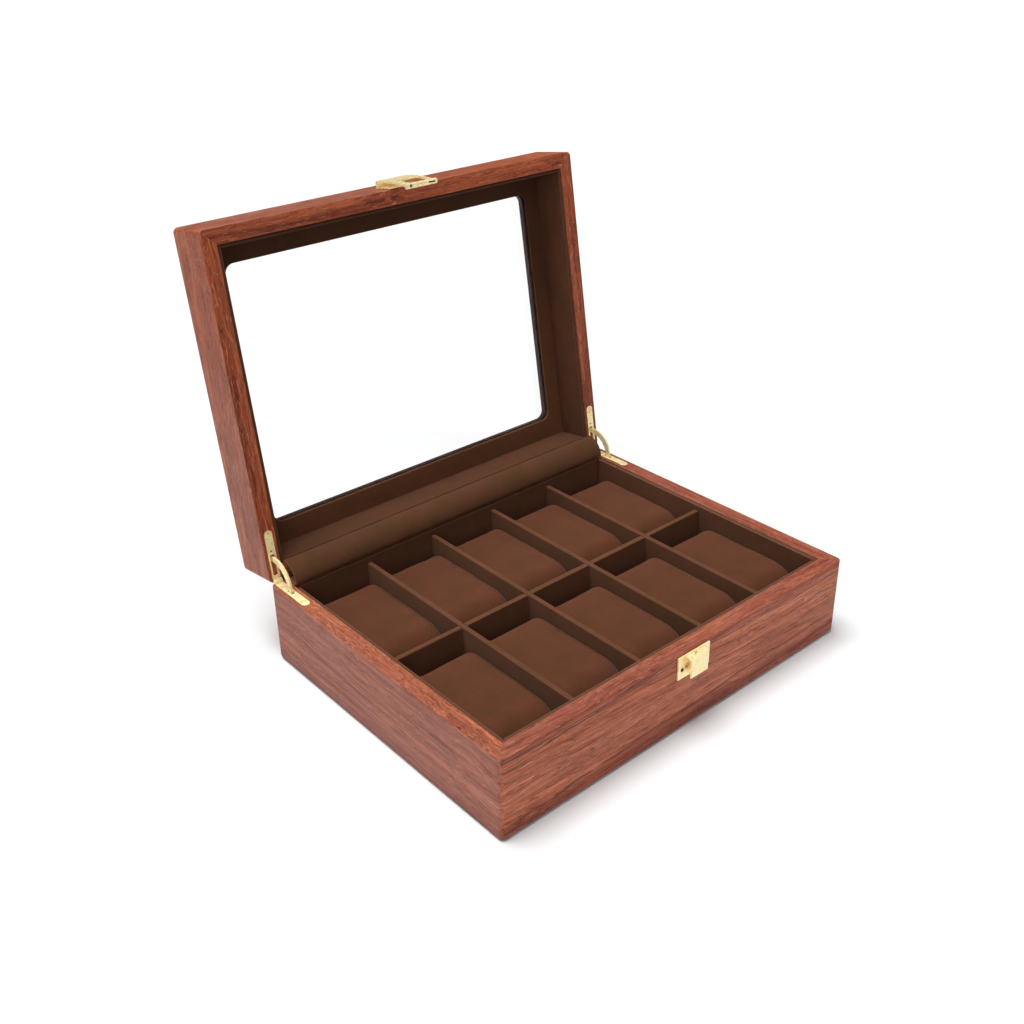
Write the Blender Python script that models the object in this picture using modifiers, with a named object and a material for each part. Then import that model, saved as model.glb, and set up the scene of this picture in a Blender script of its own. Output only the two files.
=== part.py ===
"""A ten-place watch box: rosewood, with a glazed lid, velvet linings, lift-out pillows and brass fittings.

Metres, +Z up, +X to the right, +Y to the back. The origin is the centre of the underside.
The lid stands open. Places on the lid are given with the lid shut, and the lid's pivot swings them open.
"""

import math

import bmesh
import bpy
from mathutils import Matrix, Vector

# Box
BOX_WIDTH = 0.260
BOX_DEPTH = 0.200
BASE_HEIGHT = 0.050
LID_HEIGHT = 0.0315
LID_OPENING = math.radians(98.7)
CORNER_RADIUS = 0.003
RIM_RADIUS = 0.0006
OUTER_RADIUS = 0.0024
FIT_GAP = 0.0003
RIM_GAP = 0.0003
MITRE_SHIFT = 0.00015

# Base
BASE_WALL = 0.0095
FELT_THICKNESS = 0.0009
BOTTOM_THICKNESS = 0.0035
FLOOR_THICKNESS = 0.0012
LINING_THICKNESS = 0.002
BASE_LINING_DROP = 0.0009
COLUMNS = 5
DIVIDER_THICKNESS = 0.003
DIVIDER_DROP = 0.004
DIVIDER_PITCH = 0.0473

# Pillows
PILLOW_WIDTH = 0.0412
PILLOW_LENGTH = 0.074
PILLOW_TOP = 0.0405
PILLOW_CORNER = 0.0155
PILLOW_EDGE = 0.002

# Lid
LID_WALL = 0.009
LID_LINING = 0.0018
LID_LINING_DROP = 0.0009
WINDOW_WIDTH = 0.216
WINDOW_DEPTH = 0.152
WINDOW_RADIUS = 0.0055
TOP_FRAME_THICKNESS = 0.0065
GLASS_THICKNESS = 0.002
GLASS_LAP = 0.0055
INNER_BOARD_THICKNESS = 0.0015

# Hinges, with their axis along X at the back of the joint between base and lid
HINGE_X = 0.12525
LEAF_LENGTH = 0.0315
LEAF_WIDTH = 0.005
LEAF_THICKNESS = 0.001
KNUCKLE_RADIUS = 0.0019
MIDDLE_KNUCKLE = 0.002
KNUCKLE_GAP = 0.00025
PIN_RADIUS = 0.0006
BASE_LEAF_SCREWS = (0.0075, 0.0275)
LID_LEAF_SCREWS = (0.0283,)
LID_LEAF_HOLE = 0.0187
ARM_RADIUS = 0.014
ARM_WIDTH = 0.0037
ARM_END_WIDTH = 0.0024
ARM_THICKNESS = 0.0012
ARM_HALF_SPAN = math.radians(65)
ARM_CLEARANCE = 0.0004

# Velvet strip that covers the joint between the two back walls
CLOTH_RADIUS = 0.0119
CLOTH_THICKNESS = 0.0011
CLOTH_END_ANGLE = math.radians(3)

# Catch on the base: a plate with a tongue that stands off, folds down and hooks the flap's rolled end
CATCH_X = 0.0010
CATCH_WIDTH = 0.0240
CATCH_HEIGHT = 0.0135
CATCH_TOP = 0.0487
CATCH_SCREW = (-0.0045, 0.0417)
CATCH_NAIL = (-0.0080, 0.0407)
SHEET = 0.0009
TONGUE_X = 0.0016
TONGUE_WIDTH = 0.0130
TONGUE_STAND_OFF = 0.0036
TONGUE_ROOT = 0.0473
TONGUE_FOLD = 0.0468
TONGUE_TIP = 0.0355
RING_RADIUS = 0.0015
RING_GROOVE = 0.0006

# Hasp on the lid: a plate, and a bowed flap that hangs from a hinge and ends in a rolled bar
HASP_X = -0.0002
HASP_WIDTH = 0.0208
HASP_KNUCKLE = 0.0020
HASP_WINDOW = (-0.0058, 0.0084)
HASP_SHEET = 0.0011
HASP_AXIS_Z = 0.0615
HASP_STAND_OFF = 0.0030
HASP_BARREL_RADIUS = 0.0019
HASP_BOW = 0.0008
HASP_ROLL_Z = 0.0332
HASP_ROLL_STAND_OFF = 0.0022
HASP_ROLL_RADIUS = 0.0016
HASP_ROLL_HOLE = (0.0010, 0.0026)
HASP_ROLL_SLOT = (0.0045, 0.0009)
HASP_ROLL_SINK = 0.0012
HASP_WINDOW_TOP = 0.0496
HASP_PLATE_LOW = 0.0508
HASP_PLATE_HIGH = 0.0632
HASP_SCREW_X = 0.0045
HASP_SCREW_Z = 0.0545

# Screws: radius of the head, radius of the shank, length of the shank
HINGE_SCREW = (0.0017, 0.0007, 0.008)
LATCH_SCREW = (0.0015, 0.0006, 0.005)
LATCH_NAIL = (0.0010, 0.0005, 0.004)
SCREW_HEAD = 0.0006
SCREW_SLOT = 0.00045
ROUND_STEPS = 20
CUT_MARGIN = 0.002

HALF_WIDTH = BOX_WIDTH / 2
HALF_DEPTH = BOX_DEPTH / 2
BASE_RIM = BASE_HEIGHT - RIM_GAP / 2
LID_RIM = BASE_HEIGHT + RIM_GAP / 2
LID_TOP = BASE_HEIGHT + LID_HEIGHT
HINGE_POINT = Vector((0, HALF_DEPTH, BASE_HEIGHT))
HASP_POINT = Vector((HASP_X, -HALF_DEPTH - HASP_STAND_OFF, HASP_AXIS_Z))
FLOOR_TOP = FELT_THICKNESS + BOTTOM_THICKNESS + FLOOR_THICKNESS + 2 * FIT_GAP
SOFT_BOTTOM = FLOOR_TOP + FIT_GAP
BASE_INNER_X = HALF_WIDTH - BASE_WALL
BASE_INNER_Y = HALF_DEPTH - BASE_WALL
LINED_X = BASE_INNER_X - FIT_GAP - LINING_THICKNESS
LINED_Y = BASE_INNER_Y - FIT_GAP - LINING_THICKNESS
DIVIDER_TOP = BASE_HEIGHT - DIVIDER_DROP
DIVIDER_XS = [(i - (COLUMNS - 2) / 2) * DIVIDER_PITCH for i in range(COLUMNS - 1)]
LID_INNER_X = HALF_WIDTH - LID_WALL
LID_INNER_Y = HALF_DEPTH - LID_WALL
FRAME_BOTTOM = LID_TOP - TOP_FRAME_THICKNESS
INNER_BOARD_TOP = FRAME_BOTTOM - FIT_GAP
INNER_BOARD_BOTTOM = INNER_BOARD_TOP - INNER_BOARD_THICKNESS

parts = None
cutters = None
materials = {}


class Pivot:
    """An empty on a joint's axis, with the place it has while the box is shut."""

    def __init__(self, name, shut_position, angle, parent=None):
        self.shut_position = Vector(shut_position)
        self.empty = bpy.data.objects.new(name, None)
        parts.objects.link(self.empty)
        self.empty.empty_display_size = 0.01
        self.empty.rotation_euler = (angle, 0, 0)
        if parent is None:
            self.empty.location = shut_position
        else:
            self.empty.parent = parent.empty
            self.empty.location = self.shut_position - parent.shut_position


def clear_scene():
    for obj in list(bpy.data.objects):
        bpy.data.objects.remove(obj, do_unlink=True)


def new_collection(name):
    collection = bpy.data.collections.new(name)
    bpy.context.scene.collection.children.link(collection)
    return collection


def make_material(name, colour, roughness, metallic=0.0, transmission=0.0):
    material = bpy.data.materials.new(name)
    material.use_nodes = True
    shader = material.node_tree.nodes["Principled BSDF"]
    shader.inputs["Base Color"].default_value = (*colour, 1)
    shader.inputs["Roughness"].default_value = roughness
    shader.inputs["Metallic"].default_value = metallic
    shader.inputs["Transmission Weight"].default_value = transmission
    material.diffuse_color = (*colour, 1)
    materials[name] = material


def make_materials():
    make_material("rosewood", (0.30, 0.10, 0.055), 0.38)
    make_material("plywood", (0.52, 0.36, 0.20), 0.7)
    make_material("velvet", (0.075, 0.028, 0.012), 0.95)
    make_material("felt", (0.02, 0.015, 0.012), 0.95)
    make_material("brass", (0.90, 0.74, 0.38), 0.2, metallic=1.0)
    make_material("glass", (0.95, 0.97, 0.97), 0.03, transmission=1.0)


def place(obj, point, pivot=None):
    """Puts the origin at a point given with the box shut, under the pivot that carries the piece."""
    if pivot is None:
        obj.location = point
    else:
        obj.parent = pivot.empty
        obj.location = Vector(point) - pivot.shut_position


def finish_object(name, mesh, material):
    """A visible piece if it has a material, and a hidden cutter if it has none."""
    obj = bpy.data.objects.new(name, mesh)
    if material is None:
        cutters.objects.link(obj)
        obj.hide_render = True
        obj.display_type = "WIRE"
    else:
        parts.objects.link(obj)
        mesh.materials.clear()
        mesh.materials.append(materials[material])
    return obj


def block(name, low, high, material=None, pivot=None):
    low, high = Vector(low), Vector(high)
    shape = bmesh.new()
    bmesh.ops.create_cube(shape, size=1, matrix=Matrix.Diagonal((*(high - low), 1)))
    mesh = bpy.data.meshes.new(name)
    shape.to_mesh(mesh)
    shape.free()
    obj = finish_object(name, mesh, material)
    place(obj, (low + high) / 2, pivot)
    return obj


def rounded_block(name, low, high, top_radius, bottom_radius, pivot=None):
    """A hidden block with round upright corners and rounded edges at its top and its bottom."""
    obj = block(name, low, high, pivot=pivot)
    shape = bmesh.new()
    shape.from_mesh(obj.data)
    upright = [e for e in shape.edges if abs(e.verts[0].co.z - e.verts[1].co.z) > 1e-6]
    bmesh.ops.bevel(shape, geom=upright, offset=CORNER_RADIUS, segments=4, profile=0.5, affect="EDGES")
    half_height = (high[2] - low[2]) / 2
    for level, radius in ((half_height, top_radius), (-half_height, bottom_radius)):
        loop = [e for e in shape.edges if all(abs(v.co.z - level) < 1e-6 for v in e.verts)]
        bmesh.ops.bevel(shape, geom=loop, offset=radius, segments=2, profile=0.5, affect="EDGES")
    shape.to_mesh(obj.data)
    shape.free()
    return obj


def rod(name, radius, length, centre, material=None, pivot=None, along="X"):
    """A cylinder along X, Y or Z."""
    shape = bmesh.new()
    bmesh.ops.create_cone(
        shape, cap_ends=True, segments=ROUND_STEPS, radius1=radius, radius2=radius, depth=length
    )
    mesh = bpy.data.meshes.new(name)
    shape.to_mesh(mesh)
    shape.free()
    mesh.shade_smooth()
    mesh.set_sharp_from_angle(angle=math.radians(40))
    obj = finish_object(name, mesh, material)
    turn = {"X": (0, math.pi / 2, 0), "Y": (math.pi / 2, 0, 0), "Z": (0, 0, 0)}
    obj.rotation_euler = turn[along]
    place(obj, centre, pivot)
    return obj


def plate(name, outline, thickness, plane, centre, material=None, pivot=None, turn=0.0):
    """A flat piece from a closed outline of (u, v) points, as a mesh. The plane is XY or YZ."""
    curve = bpy.data.curves.new(name, "CURVE")
    curve.dimensions = "2D"
    curve.fill_mode = "BOTH"
    curve.extrude = thickness / 2
    spline = curve.splines.new("POLY")
    spline.points.add(len(outline) - 1)
    for point, (u, v) in zip(spline.points, outline):
        point.co = (u, v, 0, 1)
    spline.use_cyclic_u = True
    guide = bpy.data.objects.new(name + "_outline", curve)
    parts.objects.link(guide)
    quarter = math.pi / 2
    guide.rotation_euler = {"XY": (0, 0, turn), "YZ": (quarter, 0, quarter)}[plane]
    place(guide, centre, pivot)
    return as_mesh(name, guide, material, pivot)


def as_mesh(name, guide, material, pivot):
    """Turns a curve object into a closed mesh object in the same place."""
    graph = bpy.context.evaluated_depsgraph_get()
    mesh = bpy.data.meshes.new_from_object(guide.evaluated_get(graph))
    mesh.name = name
    shape = bmesh.new()
    shape.from_mesh(mesh)
    bmesh.ops.remove_doubles(shape, verts=shape.verts, dist=1e-6)
    bmesh.ops.recalc_face_normals(shape, faces=shape.faces)
    shape.to_mesh(mesh)
    shape.free()
    obj = finish_object(name, mesh, material)
    if pivot is not None:
        obj.parent = pivot.empty
    obj.matrix_world = guide.matrix_world.copy()
    bpy.data.objects.remove(guide)
    return obj


def combine(obj, other, operation):
    modifier = obj.modifiers.new(operation.lower(), "BOOLEAN")
    modifier.operation = operation
    modifier.solver = "EXACT"
    modifier.object = other


def cut(obj, *others):
    for other in others:
        combine(obj, other, "DIFFERENCE")


def arc(radius, start, end, steps):
    """Points on a circle about the origin, from one angle to another."""
    angles = [start + (end - start) * i / steps for i in range(steps + 1)]
    return [(radius * math.cos(a), radius * math.sin(a)) for a in angles]


def sector(inner, outer, start, end, steps=14):
    """The outline of a curved band about the origin."""
    return arc(outer, start, end, steps) + arc(inner, end, start, steps)


def rounded_rectangle(width, height, radius, steps=5):
    """The outline of a rectangle about the origin, with round corners."""
    outline = []
    for corner in range(4):
        across = 1 if corner in (0, 3) else -1
        up = 1 if corner in (0, 1) else -1
        start = corner * math.pi / 2
        for u, v in arc(radius, start, start + math.pi / 2, steps):
            outline.append((across * (width / 2 - radius) + u, up * (height / 2 - radius) + v))
    return outline


def wall_outline(half_length, half_span, thickness):
    """The plan of a mitred wall that faces -Y. It reaches past the box, whose rounded block trims it."""
    outer_y = -half_span - CUT_MARGIN
    inner_y = -half_span + thickness
    outer_x = half_length + CUT_MARGIN - MITRE_SHIFT
    inner_x = half_length - thickness - MITRE_SHIFT
    return [(-outer_x, outer_y), (outer_x, outer_y), (inner_x, inner_y), (-inner_x, inner_y)]


def mitred_walls(prefix, low_z, high_z, thickness, trim, pivot=None):
    """Four walls, mitred at the corners and trimmed to the rounded block. Returns them by side."""
    walls = {}
    middle = (0, 0, (low_z + high_z) / 2)
    height = high_z - low_z + 2 * CUT_MARGIN
    for i, side in enumerate(("front", "right", "back", "left")):
        halves = (HALF_WIDTH, HALF_DEPTH) if i % 2 == 0 else (HALF_DEPTH, HALF_WIDTH)
        outline = wall_outline(*halves, thickness)
        name = f"{prefix}_{side}_wall"
        walls[side] = plate(name, outline, height, "XY", middle, "rosewood", pivot, turn=i * math.pi / 2)
        combine(walls[side], trim, "INTERSECT")
    return walls


def base_walls():
    low, high = (-HALF_WIDTH, -HALF_DEPTH, FIT_GAP), (HALF_WIDTH, HALF_DEPTH, BASE_RIM)
    trim = rounded_block("base_trim", low, high, RIM_RADIUS, OUTER_RADIUS)
    return mitred_walls("base", FIT_GAP, BASE_RIM, BASE_WALL, trim)


def base_floor():
    """The felt sheet it stands on, the bottom board and the velvet floor, in that order from below."""
    half_x, half_y = BASE_INNER_X - FIT_GAP, BASE_INNER_Y - FIT_GAP
    bottom_z = FELT_THICKNESS + FIT_GAP
    floor_z = bottom_z + BOTTOM_THICKNESS + FIT_GAP
    layers = (
        ("underside_felt", 0, FELT_THICKNESS, "felt"),
        ("base_bottom", bottom_z, bottom_z + BOTTOM_THICKNESS, "plywood"),
        ("lining_floor", floor_z, floor_z + FLOOR_THICKNESS, "velvet"),
    )
    for name, low_z, high_z, material in layers:
        block(name, (-half_x, -half_y, low_z), (half_x, half_y, high_z), material)


def wall_linings(prefix, inner_x, inner_y, thickness, low_z, high_z, pivot=None):
    """Four velvet-covered boards against the walls. The side boards run the full depth."""
    side_x = inner_x - FIT_GAP
    end_y = inner_y - FIT_GAP
    end_x = side_x - thickness - FIT_GAP
    for side, sign in (("left", -1), ("right", 1)):
        xs = sorted((sign * side_x, sign * (side_x - thickness)))
        block(f"{prefix}_{side}", (xs[0], -end_y, low_z), (xs[1], end_y, high_z), "velvet", pivot)
    for side, sign in (("front", -1), ("back", 1)):
        ys = sorted((sign * end_y, sign * (end_y - thickness)))
        block(f"{prefix}_{side}", (-end_x, ys[0], low_z), (end_x, ys[1], high_z), "velvet", pivot)


def dividers():
    """One long divider and four cross dividers, half-lapped where they meet."""
    half_x, half_y = LINED_X - FIT_GAP, LINED_Y - FIT_GAP
    half_thickness = DIVIDER_THICKNESS / 2
    lap_z = (SOFT_BOTTOM + DIVIDER_TOP) / 2
    notch = half_thickness + FIT_GAP
    below, above = SOFT_BOTTOM - CUT_MARGIN, DIVIDER_TOP + CUT_MARGIN
    low = (-half_x, -half_thickness, SOFT_BOTTOM)
    high = (half_x, half_thickness, DIVIDER_TOP)
    long_divider = block("divider_long", low, high, "velvet")
    for i, x in enumerate(DIVIDER_XS, start=1):
        low = (x - half_thickness, -half_y, SOFT_BOTTOM)
        high = (x + half_thickness, half_y, DIVIDER_TOP)
        cross = block(f"divider_cross_{i}", low, high, "velvet")
        low = (x - notch, -notch, lap_z - FIT_GAP / 2)
        cut(long_divider, block(f"long_notch_{i}", low, (x + notch, notch, above)))
        high = (x + notch, notch, lap_z + FIT_GAP / 2)
        cut(cross, block(f"cross_notch_{i}", (x - notch, -notch, below), high))


def column_centres():
    """The middle of each column of places, between the dividers or the side linings."""
    edges = [-LINED_X] + DIVIDER_XS + [LINED_X]
    inset = DIVIDER_THICKNESS / 2
    centres = []
    for i in range(COLUMNS):
        low = edges[i] + (inset if i > 0 else 0)
        high = edges[i + 1] - (inset if i < COLUMNS - 1 else 0)
        centres.append((low + high) / 2)
    return centres


def pillows():
    """Ten cushions, each a rounded rectangle seen from the side, with softened side edges."""
    height = PILLOW_TOP - SOFT_BOTTOM
    outline = rounded_rectangle(PILLOW_LENGTH, height, PILLOW_CORNER)
    row_y = (LINED_Y + DIVIDER_THICKNESS / 2) / 2
    middle_z = (PILLOW_TOP + SOFT_BOTTOM) / 2
    for row, y in (("front", -row_y), ("back", row_y)):
        for i, x in enumerate(column_centres(), start=1):
            name = f"pillow_{row}_{i}"
            pillow = plate(name, outline, PILLOW_WIDTH, "YZ", (x, y, middle_z), "velvet")
            bevel = pillow.modifiers.new("soft_edges", "BEVEL")
            bevel.width = PILLOW_EDGE
            bevel.segments = 2
            bevel.limit_method = "ANGLE"
            bevel.angle_limit = math.radians(60)
            pillow.data.shade_smooth()


def lid_walls(pivot):
    low, high = (-HALF_WIDTH, -HALF_DEPTH, LID_RIM), (HALF_WIDTH, HALF_DEPTH, LID_TOP)
    trim = rounded_block("lid_trim", low, high, OUTER_RADIUS, RIM_RADIUS, pivot)
    return mitred_walls("lid", LID_RIM, LID_TOP, LID_WALL, trim, pivot)


def lid_panel(pivot):
    """The top frame with its rabbet, the glass in it and the velvet board that holds the glass."""
    half_x, half_y = LID_INNER_X - FIT_GAP, LID_INNER_Y - FIT_GAP
    glass_bottom = FRAME_BOTTOM + FIT_GAP
    glass_top = glass_bottom + GLASS_THICKNESS
    window = rounded_rectangle(WINDOW_WIDTH, WINDOW_DEPTH, WINDOW_RADIUS)
    opening = plate("window_opening", window, 2 * LID_HEIGHT, "XY", (0, 0, LID_TOP), pivot=pivot)
    frame_low, frame_high = (-half_x, -half_y, FRAME_BOTTOM), (half_x, half_y, LID_TOP)
    frame = block("lid_top_frame", frame_low, frame_high, "rosewood", pivot)
    glass_x, glass_y = WINDOW_WIDTH / 2 + GLASS_LAP, WINDOW_DEPTH / 2 + GLASS_LAP
    rabbet_x, rabbet_y = glass_x + FIT_GAP, glass_y + FIT_GAP
    rabbet_low = (-rabbet_x, -rabbet_y, FRAME_BOTTOM - CUT_MARGIN)
    rabbet = block("glass_rabbet", rabbet_low, (rabbet_x, rabbet_y, glass_top + FIT_GAP), pivot=pivot)
    cut(frame, opening, rabbet)
    block("lid_glass", (-glass_x, -glass_y, glass_bottom), (glass_x, glass_y, glass_top), "glass", pivot)
    board_low, board_high = (-half_x, -half_y, INNER_BOARD_BOTTOM), (half_x, half_y, INNER_BOARD_TOP)
    cut(block("lid_inner_board", board_low, board_high, "velvet", pivot), opening)


def screw(name, sizes, head_point, facing, material="brass", pivot=None):
    """A slotted wood screw with its head's face at head_point, looking along facing."""
    head_radius, shank_radius, shank_length = sizes
    tip = -SCREW_HEAD - shank_length
    profile = [
        (0, 0),
        (head_radius * 0.8, 0),
        (head_radius, -SCREW_HEAD * 0.3),
        (head_radius, -SCREW_HEAD),
        (shank_radius, -SCREW_HEAD),
        (shank_radius, tip + 2 * shank_radius),
        (0, tip),
    ]
    mesh = bpy.data.meshes.new(name)
    shape = bmesh.new()
    points = [shape.verts.new((r, 0, z)) for r, z in profile]
    for first, second in zip(points, points[1:]):
        shape.edges.new((first, second))
    shape.to_mesh(mesh)
    shape.free()
    obj = finish_object(name, mesh, material)
    turn = obj.modifiers.new("turn", "SCREW")
    turn.steps = ROUND_STEPS
    turn.render_steps = ROUND_STEPS
    turn.use_merge_vertices = True
    turn.merge_threshold = 1e-5
    obj.rotation_euler = Vector((0, 0, 1)).rotation_difference(Vector(facing)).to_euler()
    place(obj, head_point, pivot)
    half_slot = SCREW_SLOT / 2
    groove_low, groove_high = (-head_radius, -half_slot, -SCREW_SLOT), (head_radius, half_slot, SCREW_SLOT)
    groove = block(name + "_groove", groove_low, groove_high)
    groove.parent = obj
    groove.location = (0, 0, 0)
    cut(obj, groove)
    return obj


def screw_holes(name, sizes, head_point, facing, pivot=None):
    """The hidden counterbore and pilot hole for a screw."""
    head_radius, shank_radius, shank_length = sizes
    facing = Vector(facing)
    along = "Z" if abs(facing.z) > 0.5 else "Y"
    head_point = Vector(head_point)
    depth = SCREW_HEAD + FIT_GAP
    bore_centre = head_point + facing * (CUT_MARGIN - depth) / 2
    bore_radius = head_radius + FIT_GAP
    bore = rod(name + "_bore", bore_radius, depth + CUT_MARGIN, bore_centre, pivot=pivot, along=along)
    length = SCREW_HEAD + shank_length + 2 * FIT_GAP
    pilot_centre = head_point + facing * (CUT_MARGIN - length) / 2
    pilot_radius = shank_radius + FIT_GAP
    pilot = rod(name + "_pilot", pilot_radius, length + CUT_MARGIN, pilot_centre, pivot=pivot, along=along)
    return bore, pilot


def leaf_outline():
    """The plan of a hinge leaf: square at the axis, round at the far end, reaching towards -Y."""
    half = LEAF_WIDTH / 2
    end_centre = -LEAF_LENGTH + half
    end = [(u, v + end_centre) for u, v in arc(half, 0, -math.pi, 8)]
    return [(half, 0)] + end + [(-half, 0)]


def axis_rod(name, x, low, high, radius, pivot):
    """A hidden cylinder on the hinge axis, from low to high about the hinge's middle."""
    centre = (x + (low + high) / 2, HALF_DEPTH, BASE_HEIGHT)
    return rod(name, radius, high - low, centre, pivot=pivot)


def hinge_leaf(name, x, up, pivot, screw_ys, slot, hole_y=None):
    """One leaf let into a rim, with its knuckles. up is -1 in the base, 1 in the lid. Returns pilot holes."""
    half = LEAF_WIDTH / 2
    middle = MIDDLE_KNUCKLE / 2
    outer = middle + KNUCKLE_GAP
    centre_z = BASE_HEIGHT + up * (RIM_GAP + LEAF_THICKNESS / 2)
    leaf = plate(name, leaf_outline(), LEAF_THICKNESS, "XY", (x, HALF_DEPTH, centre_z), "brass", pivot)
    bands = {"low": (-half, -outer), "mid": (-middle, middle), "high": (outer, half)}
    own = ("mid",) if up > 0 else ("low", "high")
    clear = {"low": (-half - FIT_GAP, -middle), "mid": (-outer, outer), "high": (middle, half + FIT_GAP)}
    reach = KNUCKLE_RADIUS + FIT_GAP
    for band, ends in bands.items():
        if band in own:
            combine(leaf, axis_rod(f"{name}_knuckle_{band}", x, *ends, KNUCKLE_RADIUS, pivot), "UNION")
        else:
            cut(leaf, axis_rod(f"{name}_clear_{band}", x, *clear[band], reach, pivot))
    cut(leaf, axis_rod(name + "_pin_hole", x, -half - FIT_GAP, half + FIT_GAP, PIN_RADIUS + FIT_GAP, pivot))
    slot_near, slot_far, slot_width = slot
    low = (x - slot_width / 2, HALF_DEPTH - slot_far, centre_z - LEAF_THICKNESS)
    high = (x + slot_width / 2, HALF_DEPTH - slot_near, centre_z + LEAF_THICKNESS)
    cut(leaf, block(name + "_slot", low, high, pivot=pivot))
    if hole_y is not None:
        centre = (x, HALF_DEPTH - hole_y, centre_z)
        radius = PIN_RADIUS + FIT_GAP / 2
        cut(leaf, rod(name + "_nail_hole", radius, 3 * LEAF_THICKNESS, centre, pivot=pivot, along="Z"))
    pilots = []
    face_z = centre_z - up * LEAF_THICKNESS / 2
    for i, y in enumerate(screw_ys, start=1):
        head = (x, HALF_DEPTH - y, face_z)
        screw_name = f"{name}_screw" if len(screw_ys) == 1 else f"{name}_screw_{i}"
        bore, pilot = screw_holes(screw_name, HINGE_SCREW, head, (0, 0, -up), pivot)
        cut(leaf, bore, pilot)
        screw(screw_name, HINGE_SCREW, head, (0, 0, -up), pivot=pivot)
        pilots.append(pilot)
    return pilots


def hinge_recesses(name, x, up, pivot):
    """The hidden cutters for a leaf's recess, its knuckles and the stop arm's mortise."""
    half = LEAF_WIDTH / 2 + FIT_GAP
    floor_z = BASE_HEIGHT + up * (RIM_GAP + LEAF_THICKNESS + FIT_GAP)
    open_z = BASE_HEIGHT - up * CUT_MARGIN
    low = (x - half, HALF_DEPTH - LEAF_LENGTH - FIT_GAP, min(floor_z, open_z))
    high = (x + half, HALF_DEPTH + CUT_MARGIN, max(floor_z, open_z))
    recess = block(name + "_recess", low, high, pivot=pivot)
    barrel = axis_rod(name + "_barrel_room", x, -half, half, KNUCKLE_RADIUS + 2 * FIT_GAP, pivot)
    slack = math.radians(4)
    inner = ARM_RADIUS - ARM_WIDTH / 2 - ARM_CLEARANCE
    outer = ARM_RADIUS + ARM_WIDTH / 2 + ARM_CLEARANCE
    band = sector(inner, outer, math.pi + up * slack, math.pi - up * (ARM_HALF_SPAN + slack))
    centre = (x, HALF_DEPTH, BASE_HEIGHT)
    mortise = plate(name + "_mortise", band, ARM_THICKNESS + 2 * ARM_CLEARANCE, "YZ", centre, pivot=pivot)
    return recess, barrel, mortise


def arm_outline(steps=14):
    """The stop arm from its side: a crescent about the hinge axis, widest in its middle."""
    middle_angle = math.pi - LID_OPENING / 2
    outer, inner = [], []
    for i in range(steps + 1):
        share = 2 * i / steps - 1
        angle = middle_angle + ARM_HALF_SPAN * share
        half = (ARM_WIDTH + (ARM_END_WIDTH - ARM_WIDTH) * share * share) / 2
        for edge, radius in ((outer, ARM_RADIUS + half), (inner, ARM_RADIUS - half)):
            edge.append((radius * math.cos(angle), radius * math.sin(angle)))
    return outer + inner[::-1]


def hinge(side, sign, base, lid, lid_pivot):
    """A side-rail hinge: two leaves on a pin, and a curved arm that slides in both walls to stop the lid."""
    x = sign * HINGE_X
    slot_near = ARM_RADIUS - ARM_WIDTH / 2 - 2 * ARM_CLEARANCE
    slot_far = ARM_RADIUS + ARM_WIDTH / 2 + 2 * ARM_CLEARANCE
    base_name, lid_name = f"hinge_{side}_base_leaf", f"hinge_{side}_lid_leaf"
    base_slot = (slot_near, slot_far, ARM_THICKNESS + 2 * ARM_CLEARANCE)
    lid_slot = (2 * KNUCKLE_RADIUS, slot_far, LEAF_WIDTH - 2 * LEAF_THICKNESS)
    base_pilots = hinge_leaf(base_name, x, -1, None, BASE_LEAF_SCREWS, base_slot)
    lid_pilots = hinge_leaf(lid_name, x, 1, lid_pivot, LID_LEAF_SCREWS, lid_slot, LID_LEAF_HOLE)
    for wall in (base[side], base["back"]):
        cut(wall, *hinge_recesses(f"{base_name}_{wall.name}", x, -1, None))
    cut(base[side], *base_pilots)
    for wall in (lid[side], lid["back"]):
        cut(wall, *hinge_recesses(f"{lid_name}_{wall.name}", x, 1, lid_pivot))
    cut(lid[side], *lid_pilots)
    centre = (x, HALF_DEPTH, BASE_HEIGHT)
    rod(f"hinge_{side}_pin", PIN_RADIUS, LEAF_WIDTH + FIT_GAP, centre, "brass")
    plate(f"hinge_{side}_stop_arm", arm_outline(), ARM_THICKNESS, "YZ", centre, "brass")


def hinge_cloth():
    """A curved velvet strip about the hinge axis, from the base's back rim to the lid's."""
    inner, outer = CLOTH_RADIUS - CLOTH_THICKNESS / 2, CLOTH_RADIUS + CLOTH_THICKNESS / 2
    start, end = math.pi - LID_OPENING + CLOTH_END_ANGLE, math.pi - CLOTH_END_ANGLE
    width = 2 * (BASE_INNER_X - FIT_GAP)
    strip = plate("hinge_cloth", sector(inner, outer, start, end), width, "YZ", HINGE_POINT, "velvet")
    strip.data.shade_smooth()
    strip.data.set_sharp_from_angle(angle=math.radians(40))


def fixing(name, sizes, x, z, plate_body, wall, pivot=None):
    """A screw through a plate on the front into the wall behind it."""
    head = (x, -HALF_DEPTH - 2 * FIT_GAP - SHEET, z)
    bore, pilot = screw_holes(name, sizes, head, (0, -1, 0), pivot)
    cut(plate_body, bore, pilot)
    cut(wall, pilot)
    screw(name, sizes, head, (0, -1, 0), pivot=pivot)


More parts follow.
